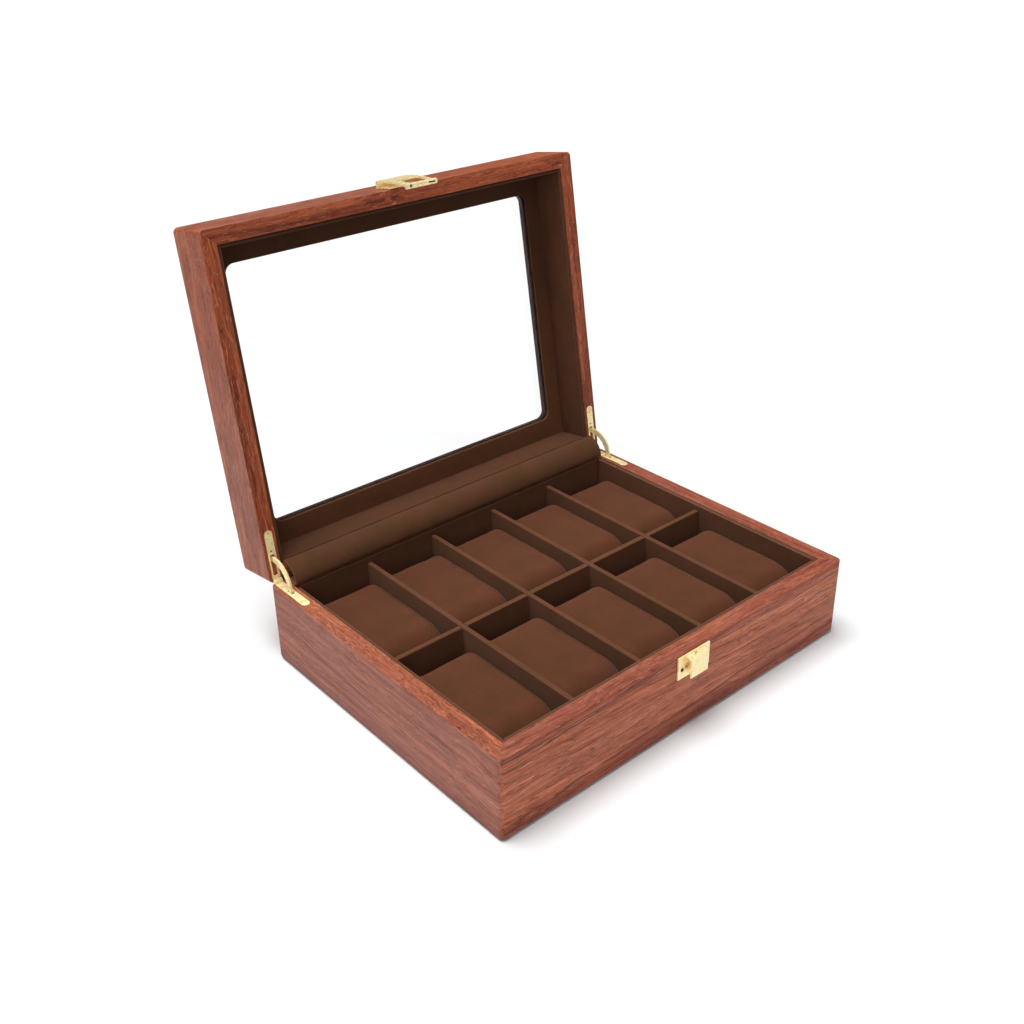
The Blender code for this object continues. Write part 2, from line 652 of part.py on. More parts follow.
def catch(front_wall):
    """The plate on the base with its tongue, and the ring pressed into the tongue's shelf."""
    back_y = -HALF_DEPTH - FIT_GAP
    front_y = back_y - SHEET
    half = CATCH_WIDTH / 2
    low, high = (CATCH_X - half, front_y, CATCH_TOP - CATCH_HEIGHT), (CATCH_X + half, back_y, CATCH_TOP)
    plate_body = block("catch_plate", low, high, "brass")
    tongue_front = front_y - TONGUE_STAND_OFF
    tongue_back = tongue_front + SHEET
    root_y = front_y + SHEET / 2
    outer = [(root_y, TONGUE_ROOT + SHEET), (tongue_front, TONGUE_FOLD), (tongue_front, TONGUE_TIP)]
    inner = [(tongue_back, TONGUE_TIP), (tongue_back, TONGUE_FOLD - SHEET), (root_y, TONGUE_ROOT)]
    tongue = plate("catch_tongue", outer + inner, TONGUE_WIDTH, "YZ", (TONGUE_X, 0, 0))
    combine(plate_body, tongue, "UNION")
    ring_centre = (TONGUE_X, (front_y + tongue_front) / 2, (TONGUE_ROOT + SHEET + TONGUE_FOLD) / 2)
    ring = rod("catch_ring", RING_RADIUS, SHEET, ring_centre, along="Z")
    cut(ring, rod("catch_ring_middle", RING_RADIUS - RING_GROOVE, 2 * SHEET, ring_centre, along="Z"))
    cut(plate_body, ring)
    fixing("catch_screw", LATCH_SCREW, *CATCH_SCREW, plate_body, front_wall)
    fixing("catch_nail", LATCH_NAIL, *CATCH_NAIL, plate_body, front_wall)


def hasp_profile(steps=10):
    """The flap's sheet from its side, about its axis: it leaves the barrel's front and bows to the roll."""
    half = HASP_SHEET / 2
    top = -HASP_BARREL_RADIUS + half
    bottom = HASP_STAND_OFF - HASP_ROLL_STAND_OFF
    back, front = [], []
    for i in range(steps + 1):
        t = i / steps
        middle = top + (bottom - top) * t - HASP_BOW * 4 * t * (1 - t)
        down = (HASP_ROLL_Z - HASP_AXIS_Z) * t
        back.append((middle + half, down))
        front.append((middle - half, down))
    return front + back[::-1]


def hasp_mount(front_wall, pivot):
    """The plate on the lid's front, with a knuckle at each end of the flap's barrel."""
    back_y = -HALF_DEPTH - FIT_GAP
    front_y = back_y - SHEET
    half = HASP_WIDTH / 2
    low, high = (HASP_X - half, front_y, HASP_PLATE_LOW), (HASP_X + half, back_y, HASP_PLATE_HIGH)
    mount = block("hasp_plate", low, high, "brass", pivot)
    barrel = 2 * (half - HASP_KNUCKLE) + 2 * FIT_GAP
    cut(mount, rod("hasp_barrel_room", HASP_BARREL_RADIUS + FIT_GAP, barrel, HASP_POINT, pivot=pivot))
    for side, sign in (("left", -1), ("right", 1)):
        centre = HASP_POINT + Vector((sign * (half - HASP_KNUCKLE / 2), 0, 0))
        knuckle = rod(f"hasp_{side}_knuckle", HASP_BARREL_RADIUS, HASP_KNUCKLE, centre, pivot=pivot)
        combine(mount, knuckle, "UNION")
        reach = Vector((HASP_KNUCKLE / 2, 0, HASP_BARREL_RADIUS / 2))
        web_back = centre + Vector((0, front_y + SHEET / 2 - HASP_POINT.y, 0))
        web = block(f"hasp_{side}_web", centre - reach, web_back + reach, pivot=pivot)
        combine(mount, web, "UNION")
        x = HASP_X + sign * HASP_SCREW_X
        fixing(f"hasp_screw_{side}", LATCH_SCREW, x, HASP_SCREW_Z, mount, front_wall, pivot)
    bore = PIN_RADIUS + FIT_GAP
    cut(mount, rod("hasp_plate_bore", bore, HASP_WIDTH + CUT_MARGIN, HASP_POINT, pivot=pivot))


def hasp_flap(pivot):
    """The bowed flap: a barrel, two arms round a wide window, and a rolled end pierced from beneath."""
    half = HASP_WIDTH / 2
    reach = 2 * HASP_STAND_OFF
    flap = plate("hasp_flap", hasp_profile(), HASP_WIDTH, "YZ", HASP_POINT, "brass", pivot)
    for side, sign in (("left", -1), ("right", 1)):
        centre = HASP_POINT + Vector((sign * (half - HASP_KNUCKLE / 2), 0, 0))
        room = (HASP_KNUCKLE / 2 + FIT_GAP, HASP_STAND_OFF, HASP_BARREL_RADIUS + FIT_GAP)
        low, high = centre - Vector(room), centre + Vector(room)
        cut(flap, block(f"hasp_{side}_knuckle_room", low, high, pivot=pivot))
    barrel = 2 * (half - HASP_KNUCKLE - FIT_GAP)
    combine(flap, rod("hasp_barrel", HASP_BARREL_RADIUS, barrel, HASP_POINT, pivot=pivot), "UNION")
    roll = Vector((HASP_X, -HALF_DEPTH - HASP_ROLL_STAND_OFF, HASP_ROLL_Z))
    combine(flap, rod("hasp_roll", HASP_ROLL_RADIUS, HASP_WIDTH, roll, pivot=pivot), "UNION")
    window_left, window_right = HASP_WINDOW
    low = (window_left, HASP_POINT.y - reach, HASP_ROLL_Z + HASP_ROLL_RADIUS)
    high = (window_right, HASP_POINT.y + reach, HASP_WINDOW_TOP)
    cut(flap, block("hasp_window", low, high, pivot=pivot))
    hole_radius, hole_inset = HASP_ROLL_HOLE
    hole = roll - Vector((half - hole_inset, 0, HASP_ROLL_RADIUS))
    cut(flap, rod("hasp_roll_hole", hole_radius, 2 * HASP_ROLL_SINK, hole, pivot=pivot, along="Z"))
    slot_length, slot_width = HASP_ROLL_SLOT
    slot_right = HASP_X + half - HASP_ROLL_RADIUS
    low = (slot_right - slot_length, roll.y - slot_width / 2, hole.z - CUT_MARGIN)
    high = (slot_right, roll.y + slot_width / 2, hole.z + HASP_ROLL_SINK)
    cut(flap, block("hasp_roll_slot", low, high, pivot=pivot))
    pin_hole = PIN_RADIUS + FIT_GAP
    cut(flap, rod("hasp_flap_bore", pin_hole, HASP_WIDTH + CUT_MARGIN, HASP_POINT, pivot=pivot))


def hasp(front_wall, lid_pivot):
    """The plate on the lid, the flap that swings on it and the pin between them."""
    hasp_mount(front_wall, lid_pivot)
    hasp_flap(Pivot("hasp_pivot", HASP_POINT, 0, lid_pivot))
    rod("hasp_pin", PIN_RADIUS, HASP_WIDTH, HASP_POINT, "brass", lid_pivot)


def build():
    make_materials()
    lid_pivot = Pivot("lid_pivot", HINGE_POINT, -LID_OPENING)
    base = base_walls()
    base_floor()
    base_lining_top = BASE_HEIGHT - BASE_LINING_DROP
    wall_linings("lining", BASE_INNER_X, BASE_INNER_Y, LINING_THICKNESS, SOFT_BOTTOM, base_lining_top)
    dividers()
    pillows()
    lid = lid_walls(lid_pivot)
    lid_panel(lid_pivot)
    lid_lining_z = (BASE_HEIGHT + LID_LINING_DROP, INNER_BOARD_BOTTOM - FIT_GAP)
    wall_linings("lid_lining", LID_INNER_X, LID_INNER_Y, LID_LINING, *lid_lining_z, pivot=lid_pivot)
    for side, sign in (("left", -1), ("right", 1)):
        hinge(side, sign, base, lid, lid_pivot)
    hinge_cloth()
    catch(base["front"])
    hasp(lid["front"], lid_pivot)


clear_scene()
parts = new_collection("watch_box")
cutters = new_collection("cutters")
build()
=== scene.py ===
"""The looks of a ten-place watch box: rosewood veneer, velvet, brass, glass and cushions.

Metres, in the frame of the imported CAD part: +Z up, +X to the right, +Y to the back, and the
origin under the middle of the box. Pieces of the lid are made where they are with the lid
shut, and then swung open with it. The cushions are swollen by cloth simulation.
"""

import math
import random

import bmesh
import bpy
from mathutils import Matrix, Quaternion, Vector, noise
from mathutils.bvhtree import BVHTree

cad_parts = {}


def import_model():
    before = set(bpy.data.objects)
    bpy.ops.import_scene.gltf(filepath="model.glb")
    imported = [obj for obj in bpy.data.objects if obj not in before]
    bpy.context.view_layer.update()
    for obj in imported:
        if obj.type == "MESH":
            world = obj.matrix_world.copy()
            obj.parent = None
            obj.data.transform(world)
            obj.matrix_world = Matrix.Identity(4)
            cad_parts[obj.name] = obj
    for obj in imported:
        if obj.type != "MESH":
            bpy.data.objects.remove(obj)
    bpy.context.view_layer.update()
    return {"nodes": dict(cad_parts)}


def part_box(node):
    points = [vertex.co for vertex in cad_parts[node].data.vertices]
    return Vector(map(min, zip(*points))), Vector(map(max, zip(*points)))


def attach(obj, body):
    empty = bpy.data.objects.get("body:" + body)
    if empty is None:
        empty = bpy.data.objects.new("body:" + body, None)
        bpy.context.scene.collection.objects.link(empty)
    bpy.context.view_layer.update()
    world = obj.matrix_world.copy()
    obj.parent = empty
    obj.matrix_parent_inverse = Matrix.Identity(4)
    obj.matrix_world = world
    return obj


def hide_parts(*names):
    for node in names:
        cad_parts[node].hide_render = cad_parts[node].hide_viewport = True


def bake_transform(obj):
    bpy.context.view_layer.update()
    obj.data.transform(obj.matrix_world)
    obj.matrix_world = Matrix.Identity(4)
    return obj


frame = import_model()
nodes = frame["nodes"]

MM = 0.001

# Driving sizes, from the CAD frame
BASE_LOW, BASE_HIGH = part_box("base_front_wall")
HALF_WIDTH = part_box("base_right_wall")[1].x
HALF_DEPTH = -BASE_LOW.y
BASE_BOTTOM = BASE_LOW.z
BASE_RIM = BASE_HIGH.z
BASE_WALL = BASE_HIGH.y + HALF_DEPTH
RIM_GAP = 0.3 * MM
HINGE_Z = BASE_RIM + RIM_GAP / 2
HINGE_POINT = Vector((0, HALF_DEPTH, HINGE_Z))
LID_RIM = HINGE_Z + RIM_GAP / 2
LID_HEIGHT = 31.5 * MM
LID_TOP = HINGE_Z + LID_HEIGHT
LID_WALL = 9 * MM
LID_OPENING = math.radians(98.7)

CORNER_RADIUS = 3 * MM
OUTER_RADIUS = 2.4 * MM
RIM_RADIUS = 0.6 * MM
INNER_RADIUS = 0.3 * MM
MITRE_GAP = 0.03 * MM
PANEL_GAP = 0.12 * MM

WINDOW_X, WINDOW_Y = 108 * MM, 76 * MM
WINDOW_RADIUS = 5.5 * MM
WINDOW_NOSE = 1.0 * MM
SQUARE_CORNER = 0.3 * MM
PANEL_EDGE = 0.15 * MM
TOP_FRAME = 6.5 * MM
GLASS_LAP = 5.8 * MM
GLASS_DEPTH = 2.6 * MM
INNER_BOARD = 1.5 * MM
BOARD_GAP = 0.3 * MM

HINGE_X = 125.25 * MM
LEAF_LENGTH = 31.5 * MM
LEAF_WIDTH = 5 * MM
LEAF_DEPTH = 1.3 * MM
LEAF_GAP = 0.15 * MM
KNUCKLE_ROOM = 2.3 * MM
ARM_RADIUS = 14 * MM
ARM_ROOM = 2.25 * MM
ARM_SLOT = 2 * MM
ARM_HALF_SPAN = math.radians(65)
ARM_SLACK = math.radians(4)

VELVET_EDGE = 0.7 * MM
BRASS_EDGE = 0.12 * MM
HOLLOW_RAYS = 12
HOLLOW_LEAN = math.radians(60)
HOLLOW_LIFT = 0.01 * MM
HOLLOW_REACH = 2.2 * MM
HOLLOW_SHARE = 0.72

CLOTH_RADIUS = 11.9 * MM
CLOTH_BULGE = 0.35 * MM
CLOTH_TUCK = 1.3 * MM
CLOTH_LID_END = math.radians(7)
CLOTH_TAB = (16 * MM, 2.4 * MM)
CLOTH_TAB_RADIUS = 0.9 * MM
CLOTH_TAB_OVERRUN = math.radians(10)
CLOTH_TAB_THICKNESS = 0.12 * MM
CLOTH_WAVE = (0.12 * MM, 25 * MM)
CLOTH_TUCK_REACH = 0.07
CLOTH_SEAM_SHADE_REACH = 0.05
CLOTH_TURNS = 32
CLOTH_COLUMNS = 60
CLOTH_THICKNESS = 1.1 * MM
CLOTH_END = math.radians(3)

lid_open = (
    Matrix.Translation(HINGE_POINT)
    @ Matrix.Rotation(-LID_OPENING, 4, "X")
    @ Matrix.Translation(-HINGE_POINT)
)


# ---------------------------------------------------------------- node trees


class Shader:
    """Builds the node tree of one material. Each call adds a node and returns its output."""

    def __init__(self, name):
        self.material = bpy.data.materials.new(name)
        self.material.use_nodes = True
        self.tree = self.material.node_tree
        self.surface = self.tree.nodes["Principled BSDF"]

    def feed(self, socket, value):
        if isinstance(value, bpy.types.NodeSocket):
            self.tree.links.new(value, socket)
        elif isinstance(value, tuple) and len(value) == 3 and socket.type == "RGBA":
            socket.default_value = (*value, 1)
        else:
            socket.default_value = value

    def node(self, kind, inputs=None, output=0, **settings):
        made = self.tree.nodes.new(kind)
        for key, value in settings.items():
            setattr(made, key, value)
        for key, value in (inputs or {}).items():
            self.feed(made.inputs[key], value)
        return made.outputs[output]

    def place(self):
        """The place in the piece's own axes, in millimetres."""
        found = self.node("ShaderNodeTexCoord", output="Object")
        return self.scale(found, (1000, 1000, 1000))

    def scale(self, vector, factors):
        return self.node("ShaderNodeVectorMath", {0: vector, 1: factors}, operation="MULTIPLY")

    def shift(self, vector, offset):
        return self.node("ShaderNodeVectorMath", {0: vector, 1: offset}, operation="ADD")

    def parts(self, vector):
        made = self.tree.nodes.new("ShaderNodeSeparateXYZ")
        self.feed(made.inputs[0], vector)
        return made.outputs

    def vector(self, x, y, z):
        return self.node("ShaderNodeCombineXYZ", {0: x, 1: y, 2: z})

    def math(self, operation, a, b=0.0):
        return self.node("ShaderNodeMath", {0: a, 1: b}, operation=operation)

    def noise(self, vector, detail=2.0, roughness=0.5, distortion=0.0):
        """Smooth noise about 0.5, whose features are about one unit wide."""
        inputs = {
            "Vector": vector,
            "Scale": 1.0,
            "Detail": detail,
            "Roughness": roughness,
            "Distortion": distortion,
        }
        return self.node("ShaderNodeTexNoise", inputs, output="Fac")

    def remap(self, value, low, high, start=0.0, end=1.0, smooth=True):
        kind = "SMOOTHSTEP" if smooth else "LINEAR"
        inputs = {"Value": value, "From Min": low, "From Max": high, "To Min": start, "To Max": end}
        return self.node("ShaderNodeMapRange", inputs, interpolation_type=kind)

    def mix(self, factor, a, b, blend="MIX"):
        made = self.tree.nodes.new("ShaderNodeMix")
        made.data_type = "RGBA"
        made.blend_type = blend
        self.feed(made.inputs[0], factor)
        self.feed(made.inputs[6], a)
        self.feed(made.inputs[7], b)
        return made.outputs[2]

    def ramp(self, value, stops):
        made = self.tree.nodes.new("ShaderNodeValToRGB")
        made.color_ramp.interpolation = "EASE"
        points = made.color_ramp.elements
        points[0].position, points[1].position = stops[0][0], stops[-1][0]
        points[0].color, points[-1].color = (*stops[0][1], 1), (*stops[-1][1], 1)
        for position, colour in stops[1:-1]:
            points.new(position).color = (*colour, 1)
        self.feed(made.inputs[0], value)
        return made.outputs[0]

    def bump(self, height, strength, distance):
        inputs = {"Strength": strength, "Distance": distance, "Height": height}
        return self.node("ShaderNodeBump", inputs)

    def edge(self, radius):
        """How far a rounded copy of the normal leans from the true one: 0 on flats, up to 1 at edges."""
        rounded = self.node("ShaderNodeBevel", {"Radius": radius}, samples=4)
        true = self.node("ShaderNodeNewGeometry", output="Normal")
        both = {0: rounded, 1: true}
        match = self.node("ShaderNodeVectorMath", both, output="Value", operation="DOT_PRODUCT")
        return self.remap(match, 1.0, 0.75)

    def finish(self, **inputs):
        for key, value in inputs.items():
            self.feed(self.surface.inputs[key.replace("_", " ")], value)
        return self.material


# ---------------------------------------------------------------- materials

# Paler wood edges: part wear, part painted highlight where the rounded edges catch light.
WOOD_WEAR_AND_HIGHLIGHT_RADIUS = 0.7 * MM
WOOD_WEAR_AND_HIGHLIGHT = 0.16
WOOD_WEAR_AND_HIGHLIGHT_COLOUR = (0.62, 0.36, 0.24)
WOOD_DEFAULTS = {
    "dark": (0.280, 0.068, 0.034),
    "middle": (0.440, 0.121, 0.057),
    "light": (0.575, 0.185, 0.094),
    "line": (0.105, 0.030, 0.018),
    "tick": (0.700, 0.330, 0.200),
    "bend": 5.0,
    "bend_length": 90.0,
    "curl": 0.0,
    "slope": 0.02,
    "grain_width": 3.0,
    "line_cover": 0.30,
    "line_strength": 0.62,
    "pore_strength": 0.42,
    "warm_end": None,
    "dark_band": None,
    "veins": (),
}


def grain_place(shader, look, seed):
    """Millimetres along and across the grain, bent the way growth lines wander in a veneer."""
    start = shader.shift(shader.place(), (seed * 371.3, seed * 53.7, seed * 97.1))
    slow = shader.noise(shader.scale(start, (1 / look["bend_length"], 0.035, 0.035)), detail=2)
    lean = shader.math("MULTIPLY", shader.math("SUBTRACT", slow, 0.5), 2 * look["bend"])
    if look["curl"]:
        quick = shader.noise(shader.scale(start, (0.055, 0.10, 0.10)), detail=2)
        curl = shader.math("MULTIPLY", shader.math("SUBTRACT", quick, 0.5), 2 * look["curl"])
        lean = shader.math("ADD", lean, curl)
    x, y, z = shader.parts(start)
    lean = shader.math("ADD", lean, shader.math("MULTIPLY", x, look["slope"]))
    return shader.vector(x, shader.math("ADD", y, lean), shader.math("ADD", z, lean))


def rosewood(name, seed, changes):
    """Satin rosewood veneer, with the grain along the piece's X."""
    look = {**WOOD_DEFAULTS, **changes}
    shader = Shader(name)
    grain = grain_place(shader, look, seed)
    streak, colour = wood_streaks(shader, grain, look)
    colour = growth_lines(shader, colour, grain, look)
    fibre, pores, colour = fibres_and_pores(shader, colour, grain, look)
    for height, slope, width, strength in look["veins"]:
        colour = vein(shader, colour, grain, height, slope, width, strength, look["line"])
    if look["warm_end"]:
        colour = warm_along(shader, colour, *look["warm_end"])
    if look["dark_band"]:
        colour = dark_edges(shader, colour, grain, *look["dark_band"])
    # Paler edges: part wear, part painted highlight.
    wear_and_highlight = shader.math("MULTIPLY", shader.edge(WOOD_WEAR_AND_HIGHLIGHT_RADIUS), WOOD_WEAR_AND_HIGHLIGHT)
    colour = shader.mix(wear_and_highlight, colour, WOOD_WEAR_AND_HIGHLIGHT_COLOUR)
    height = shader.math("SUBTRACT", shader.math("MULTIPLY", fibre, 0.4), pores)
    rough = shader.remap(streak, 0.3, 0.7, 0.52, 0.42)
    return shader.finish(
        Base_Color=colour,
        Roughness=rough,
        Specular_IOR_Level=0.16,
        Coat_Weight=0.03,
        Coat_Roughness=0.3,
        Normal=shader.bump(height, 0.22, 0.08 * MM),
    )


def wood_streaks(shader, grain, look):
    """The long streaks of the veneer, and the broad changes of tint across it."""
    across = 1 / look["grain_width"]
    streak = shader.noise(shader.scale(grain, (0.008, across, across)), detail=6, roughness=0.62)
    stops = ((0.30, look["dark"]), (0.47, look["middle"]), (0.68, look["light"]))
    colour = shader.ramp(streak, stops)
    broad = shader.noise(shader.scale(grain, (0.006, 0.09, 0.09)), detail=2)
    tint = shader.mix(shader.remap(broad, 0.35, 0.65), (0.90, 0.88, 0.94), (1.08, 1.05, 0.98))
    return streak, shader.mix(1.0, colour, tint, "MULTIPLY")


def growth_lines(shader, colour, grain, look):
    """Thin dark lines along the rings, in patches."""
    across = 0.55 / look["grain_width"]
    rings = shader.noise(shader.scale(grain, (0.010, across, across)), detail=3, roughness=0.55)
    turns = shader.math("MULTIPLY", rings, 9.0)
    ring = shader.math("PINGPONG", turns, 0.5)
    patch = shader.noise(shader.scale(grain, (0.012, 0.10, 0.10)), detail=2)
    thin = shader.remap(ring, 0.13, 0.02)
    cover = shader.remap(patch, 0.62 - look["line_cover"], 0.78 - look["line_cover"])
    lines = shader.math("MULTIPLY", thin, cover)
    lines = shader.math("MULTIPLY", lines, look["line_strength"])
    return shader.mix(lines, colour, look["line"])


def fibres_and_pores(shader, colour, grain, look):
    """Fine fibres, short dark pores and short light ticks between them."""
    fibre = shader.noise(shader.scale(grain, (0.022, 1.15, 1.15)), detail=4, roughness=0.72)
    fibres = shader.ramp(fibre, ((0.32, (0.76, 0.72, 0.72)), (0.68, (1.22, 1.24, 1.24))))
    colour = shader.mix(1.0, colour, fibres, "MULTIPLY")
    pore = shader.noise(shader.scale(grain, (0.17, 2.3, 2.3)), detail=1)
    pores = shader.math("MULTIPLY", shader.remap(pore, 0.62, 0.69), look["pore_strength"])
    colour = shader.mix(pores, colour, look["line"])
    ticks = shader.math("MULTIPLY", shader.remap(pore, 0.36, 0.30), look["pore_strength"])
    return fibre, pores, shader.mix(ticks, colour, look["tick"])


def vein(shader, colour, grain, height, slope, width, strength, dark):
    """One long dark growth line, at a height in millimetres at the board's middle, with a wandering edge."""
    x, _, z = shader.parts(shader.place())
    wander = shader.noise(shader.scale(grain, (0.016, 0.05, 0.05)), detail=3, roughness=0.6)
    offset = shader.math("MULTIPLY", shader.math("SUBTRACT", wander, 0.5), 9.0)
    run = shader.math("ADD", shader.math("SUBTRACT", z, height), offset)
    run = shader.math("SUBTRACT", run, shader.math("MULTIPLY", x, slope))
    line = shader.remap(shader.math("ABSOLUTE", run), width, 0.3 * width)
    broken = shader.noise(shader.scale(grain, (0.03, 0.6, 0.6)), detail=3)
    amount = shader.math("MULTIPLY", line, shader.remap(broken, 0.32, 0.52, 0.0, strength))
    return shader.mix(amount, colour, dark)


def warm_along(shader, colour, start, end, tint_start, tint_end):
    """Shifts the colour along the piece's length, between two places in millimetres."""
    x = shader.parts(shader.place())[0]
    tint = shader.mix(shader.remap(x, start, end), tint_start, tint_end)
    return shader.mix(1.0, colour, tint, "MULTIPLY")


def dark_edges(shader, colour, grain, low, high, tint):
    """Darkens a streaky band of a board below one height and another above one, in millimetres."""
    z = shader.parts(shader.place())[2]
    ragged = shader.noise(shader.scale(grain, (0.012, 0.5, 0.5)), detail=4, roughness=0.6)
    reach = shader.math("MULTIPLY", shader.math("SUBTRACT", ragged, 0.5), 22.0)
    moved = shader.math("ADD", z, reach)
    bottom = shader.remap(moved, low + 5, low - 4)
    top = shader.remap(moved, high - 3, high + 3)
    band = shader.math("MAXIMUM", bottom, top)
    return shader.mix(band, colour, shader.mix(1.0, colour, tint, "MULTIPLY"))


# Paler pile edges: part wear, part painted highlight.
PILE_WEAR_AND_HIGHLIGHT_RADIUS = 0.9 * MM
PILE_WEAR_AND_HIGHLIGHT_COLOUR = (0.36, 0.21, 0.145)
# Near-black painted shade along the cushions' seams and at the strip's ends and tabs.
SEAM_SHADE_COLOUR = (0.012, 0.005, 0.003)
# How far the painted front-to-back shade reaches, in millimetres.
SHADE_REACH = 80


def velvet(name, colour, wear_and_highlight=0.0, seam_shade=False, front_shade=1.0):
    """Short brown pile with brushed patches and paler edges (part wear, part painted highlight); if asked,
    painted shade darker to the piece's front and along marked seams.
    """
    shader = Shader(name)
    place = shader.place()
    patches = shader.noise(shader.scale(place, (0.055, 0.055, 0.055)), detail=3, roughness=0.6)
    brushed = shader.ramp(patches, ((0.32, (0.88, 0.96, 0.84)), (0.68, (1.10, 1.02, 1.12))))
    pile = shader.noise(shader.scale(place, (2.6, 2.6, 2.6)), detail=2, roughness=0.7)
    fuzz = shader.ramp(pile, ((0.3, (0.82,) * 3), (0.7, (1.18,) * 3)))
    shade = shader.mix(1.0, shader.mix(1.0, colour, brushed, "MULTIPLY"), fuzz, "MULTIPLY")
    # Painted shade: darker towards the piece's front, a little lighter towards its back.
    if front_shade != 1.0:
        y = shader.parts(place)[1]
        back = shader.remap(y, -SHADE_REACH, SHADE_REACH)
        tint = shader.mix(back, (front_shade,) * 3, (1.1,) * 3)
        shade = shader.mix(1.0, shade, tint, "MULTIPLY")
    # Paler edges: part wear, part painted highlight on the pile.
    if wear_and_highlight:
        edge = shader.math("MULTIPLY", shader.edge(PILE_WEAR_AND_HIGHLIGHT_RADIUS), wear_and_highlight)
        shade = shader.mix(edge, shade, PILE_WEAR_AND_HIGHLIGHT_COLOUR)
    # Painted shade along the marked seams and the strip's ends.
    if seam_shade:
        depth = shader.node("ShaderNodeAttribute", output="Fac", attribute_name="seam_shade")
        shade = shader.mix(shader.math("MULTIPLY", depth, 0.75), shade, SEAM_SHADE_COLOUR)
    return shader.finish(
        Base_Color=shade,
        Roughness=0.95,
        Specular_IOR_Level=0.12,
        Sheen_Weight=0.30,
        Sheen_Roughness=0.45,
        Sheen_Tint=(0.60, 0.36, 0.24),
        Normal=shader.bump(pile, 0.35, 0.0002),
    )


def brass():
    """Pale brass plating: soft shine over a finely dimpled, slightly uneven surface, brightened by a faint
    painted glow.
    """
    shader = Shader("brass")
    place = shader.place()
    smear = shader.noise(shader.scale(place, (0.35, 0.35, 0.35)), detail=4, roughness=0.6)
    colour = shader.ramp(smear, ((0.3, (1.0, 0.80, 0.37)), (0.7, (1.0, 0.88, 0.52))))
    dimples = shader.noise(shader.scale(place, (1.9, 1.9, 1.9)), detail=2)
    stain = shader.noise(shader.scale(place, (1.1, 1.1, 1.1)), detail=3, roughness=0.7)
    colour = shader.mix(shader.remap(stain, 0.60, 0.70, 0.0, 0.25), colour, (0.70, 0.42, 0.12))
    rough = shader.remap(smear, 0.3, 0.7, 0.24, 0.36)
    return shader.finish(
        Base_Color=colour,
        Metallic=0.30,
        Roughness=rough,
        # Painted light: a faint glow that brightens the brass beyond what the lamps give.
        Emission_Color=(1.0, 0.80, 0.42),
        Emission_Strength=0.07,
        Normal=shader.bump(dimples, 0.05, 0.0001),
    )


def shade_and_tarnish():
    """Near-black brown, in the holes, slots and grooves of the brass, where it is painted shade with some
    tarnish, and on the small nail.
    """
    shader = Shader("shade_and_tarnish")
    mottle = shader.noise(shader.scale(shader.place(), (2.0, 2.0, 2.0)), detail=3)
    colour = shader.ramp(mottle, ((0.3, (0.020, 0.010, 0.005)), (0.7, (0.075, 0.036, 0.012))))
    return shader.finish(Base_Color=colour, Metallic=0.2, Roughness=0.6)


def old_brass():
    """Browned brass, for the catch's screw."""
    shader = Shader("old_brass")
    smear = shader.noise(shader.scale(shader.place(), (0.9, 0.9, 0.9)), detail=3)
    colour = shader.ramp(smear, ((0.3, (0.50, 0.27, 0.08)), (0.7, (0.86, 0.58, 0.24))))
    return shader.finish(Base_Color=colour, Metallic=0.35, Roughness=0.35)


def glass():
    """Clear float glass with a faint cool tint that drifts across the sheet."""
    shader = Shader("glass")
    drift = shader.noise(shader.scale(shader.place(), (0.02, 0.02, 0.02)), detail=2)
    tint = shader.ramp(drift, ((0.3, (0.990, 1.0, 0.996)), (0.7, (1.0, 1.0, 1.0))))
    material = shader.finish(Base_Color=tint, Roughness=0.0, IOR=1.45, Transmission_Weight=1.0)
    path = shader.node("ShaderNodeLightPath", output="Is Shadow Ray")
    clear = shader.node("ShaderNodeBsdfTransparent", {"Color": (0.96, 0.98, 0.97)})
    mixed = shader.node("ShaderNodeMixShader", {0: path, 1: shader.surface.outputs[0], 2: clear})
    shader.feed(shader.tree.nodes["Material Output"].inputs["Surface"], mixed)
    return material


def dark_edge():
    """Black-brown stain on the cut edge of the window."""
    shader = Shader("dark_edge")
    grain = shader.noise(shader.scale(shader.place(), (0.5, 0.5, 2.0)), detail=3)
    colour = shader.ramp(grain, ((0.3, (0.018, 0.010, 0.008)), (0.7, (0.050, 0.026, 0.018))))
    return shader.finish(Base_Color=colour, Roughness=0.5, Specular_IOR_Level=0.3)


def felt():
    """Dark felt with loose fibres."""
    shader = Shader("felt")
    place = shader.place()
    fibres = shader.noise(shader.scale(place, (1.6, 1.6, 1.6)), detail=6, roughness=0.8, distortion=1.5)
    colour = shader.ramp(fibres, ((0.3, (0.012, 0.010, 0.009)), (0.7, (0.045, 0.036, 0.031))))
    return shader.finish(
        Base_Color=colour,
        Roughness=1.0,
        Sheen_Weight=0.2,
        Normal=shader.bump(fibres, 0.6, 0.0003),
    )


def plywood():
    """Pale sheet wood with a fine straight grain."""
    shader = Shader("plywood")
    grain = shader.scale(shader.place(), (0.01, 0.5, 0.5))
    lines = shader.noise(grain, detail=5, roughness=0.6)
    colour = shader.ramp(lines, ((0.3, (0.36, 0.21, 0.11)), (0.7, (0.58, 0.40, 0.23))))
    return shader.finish(Base_Color=colour, Roughness=0.7, Normal=shader.bump(lines, 0.2, 0.0002))


# ---------------------------------------------------------------- shapes


def new_object(name, mesh):
    obj = bpy.data.objects.new(name, mesh)
    bpy.context.scene.collection.objects.link(obj)
    return obj


def arc(radius, start, end, steps):
    """Points on a circle about the origin, from one angle to another."""
    angles = [start + (end - start) * i / steps for i in range(steps + 1)]
    return [(radius * math.cos(a), radius * math.sin(a)) for a in angles]


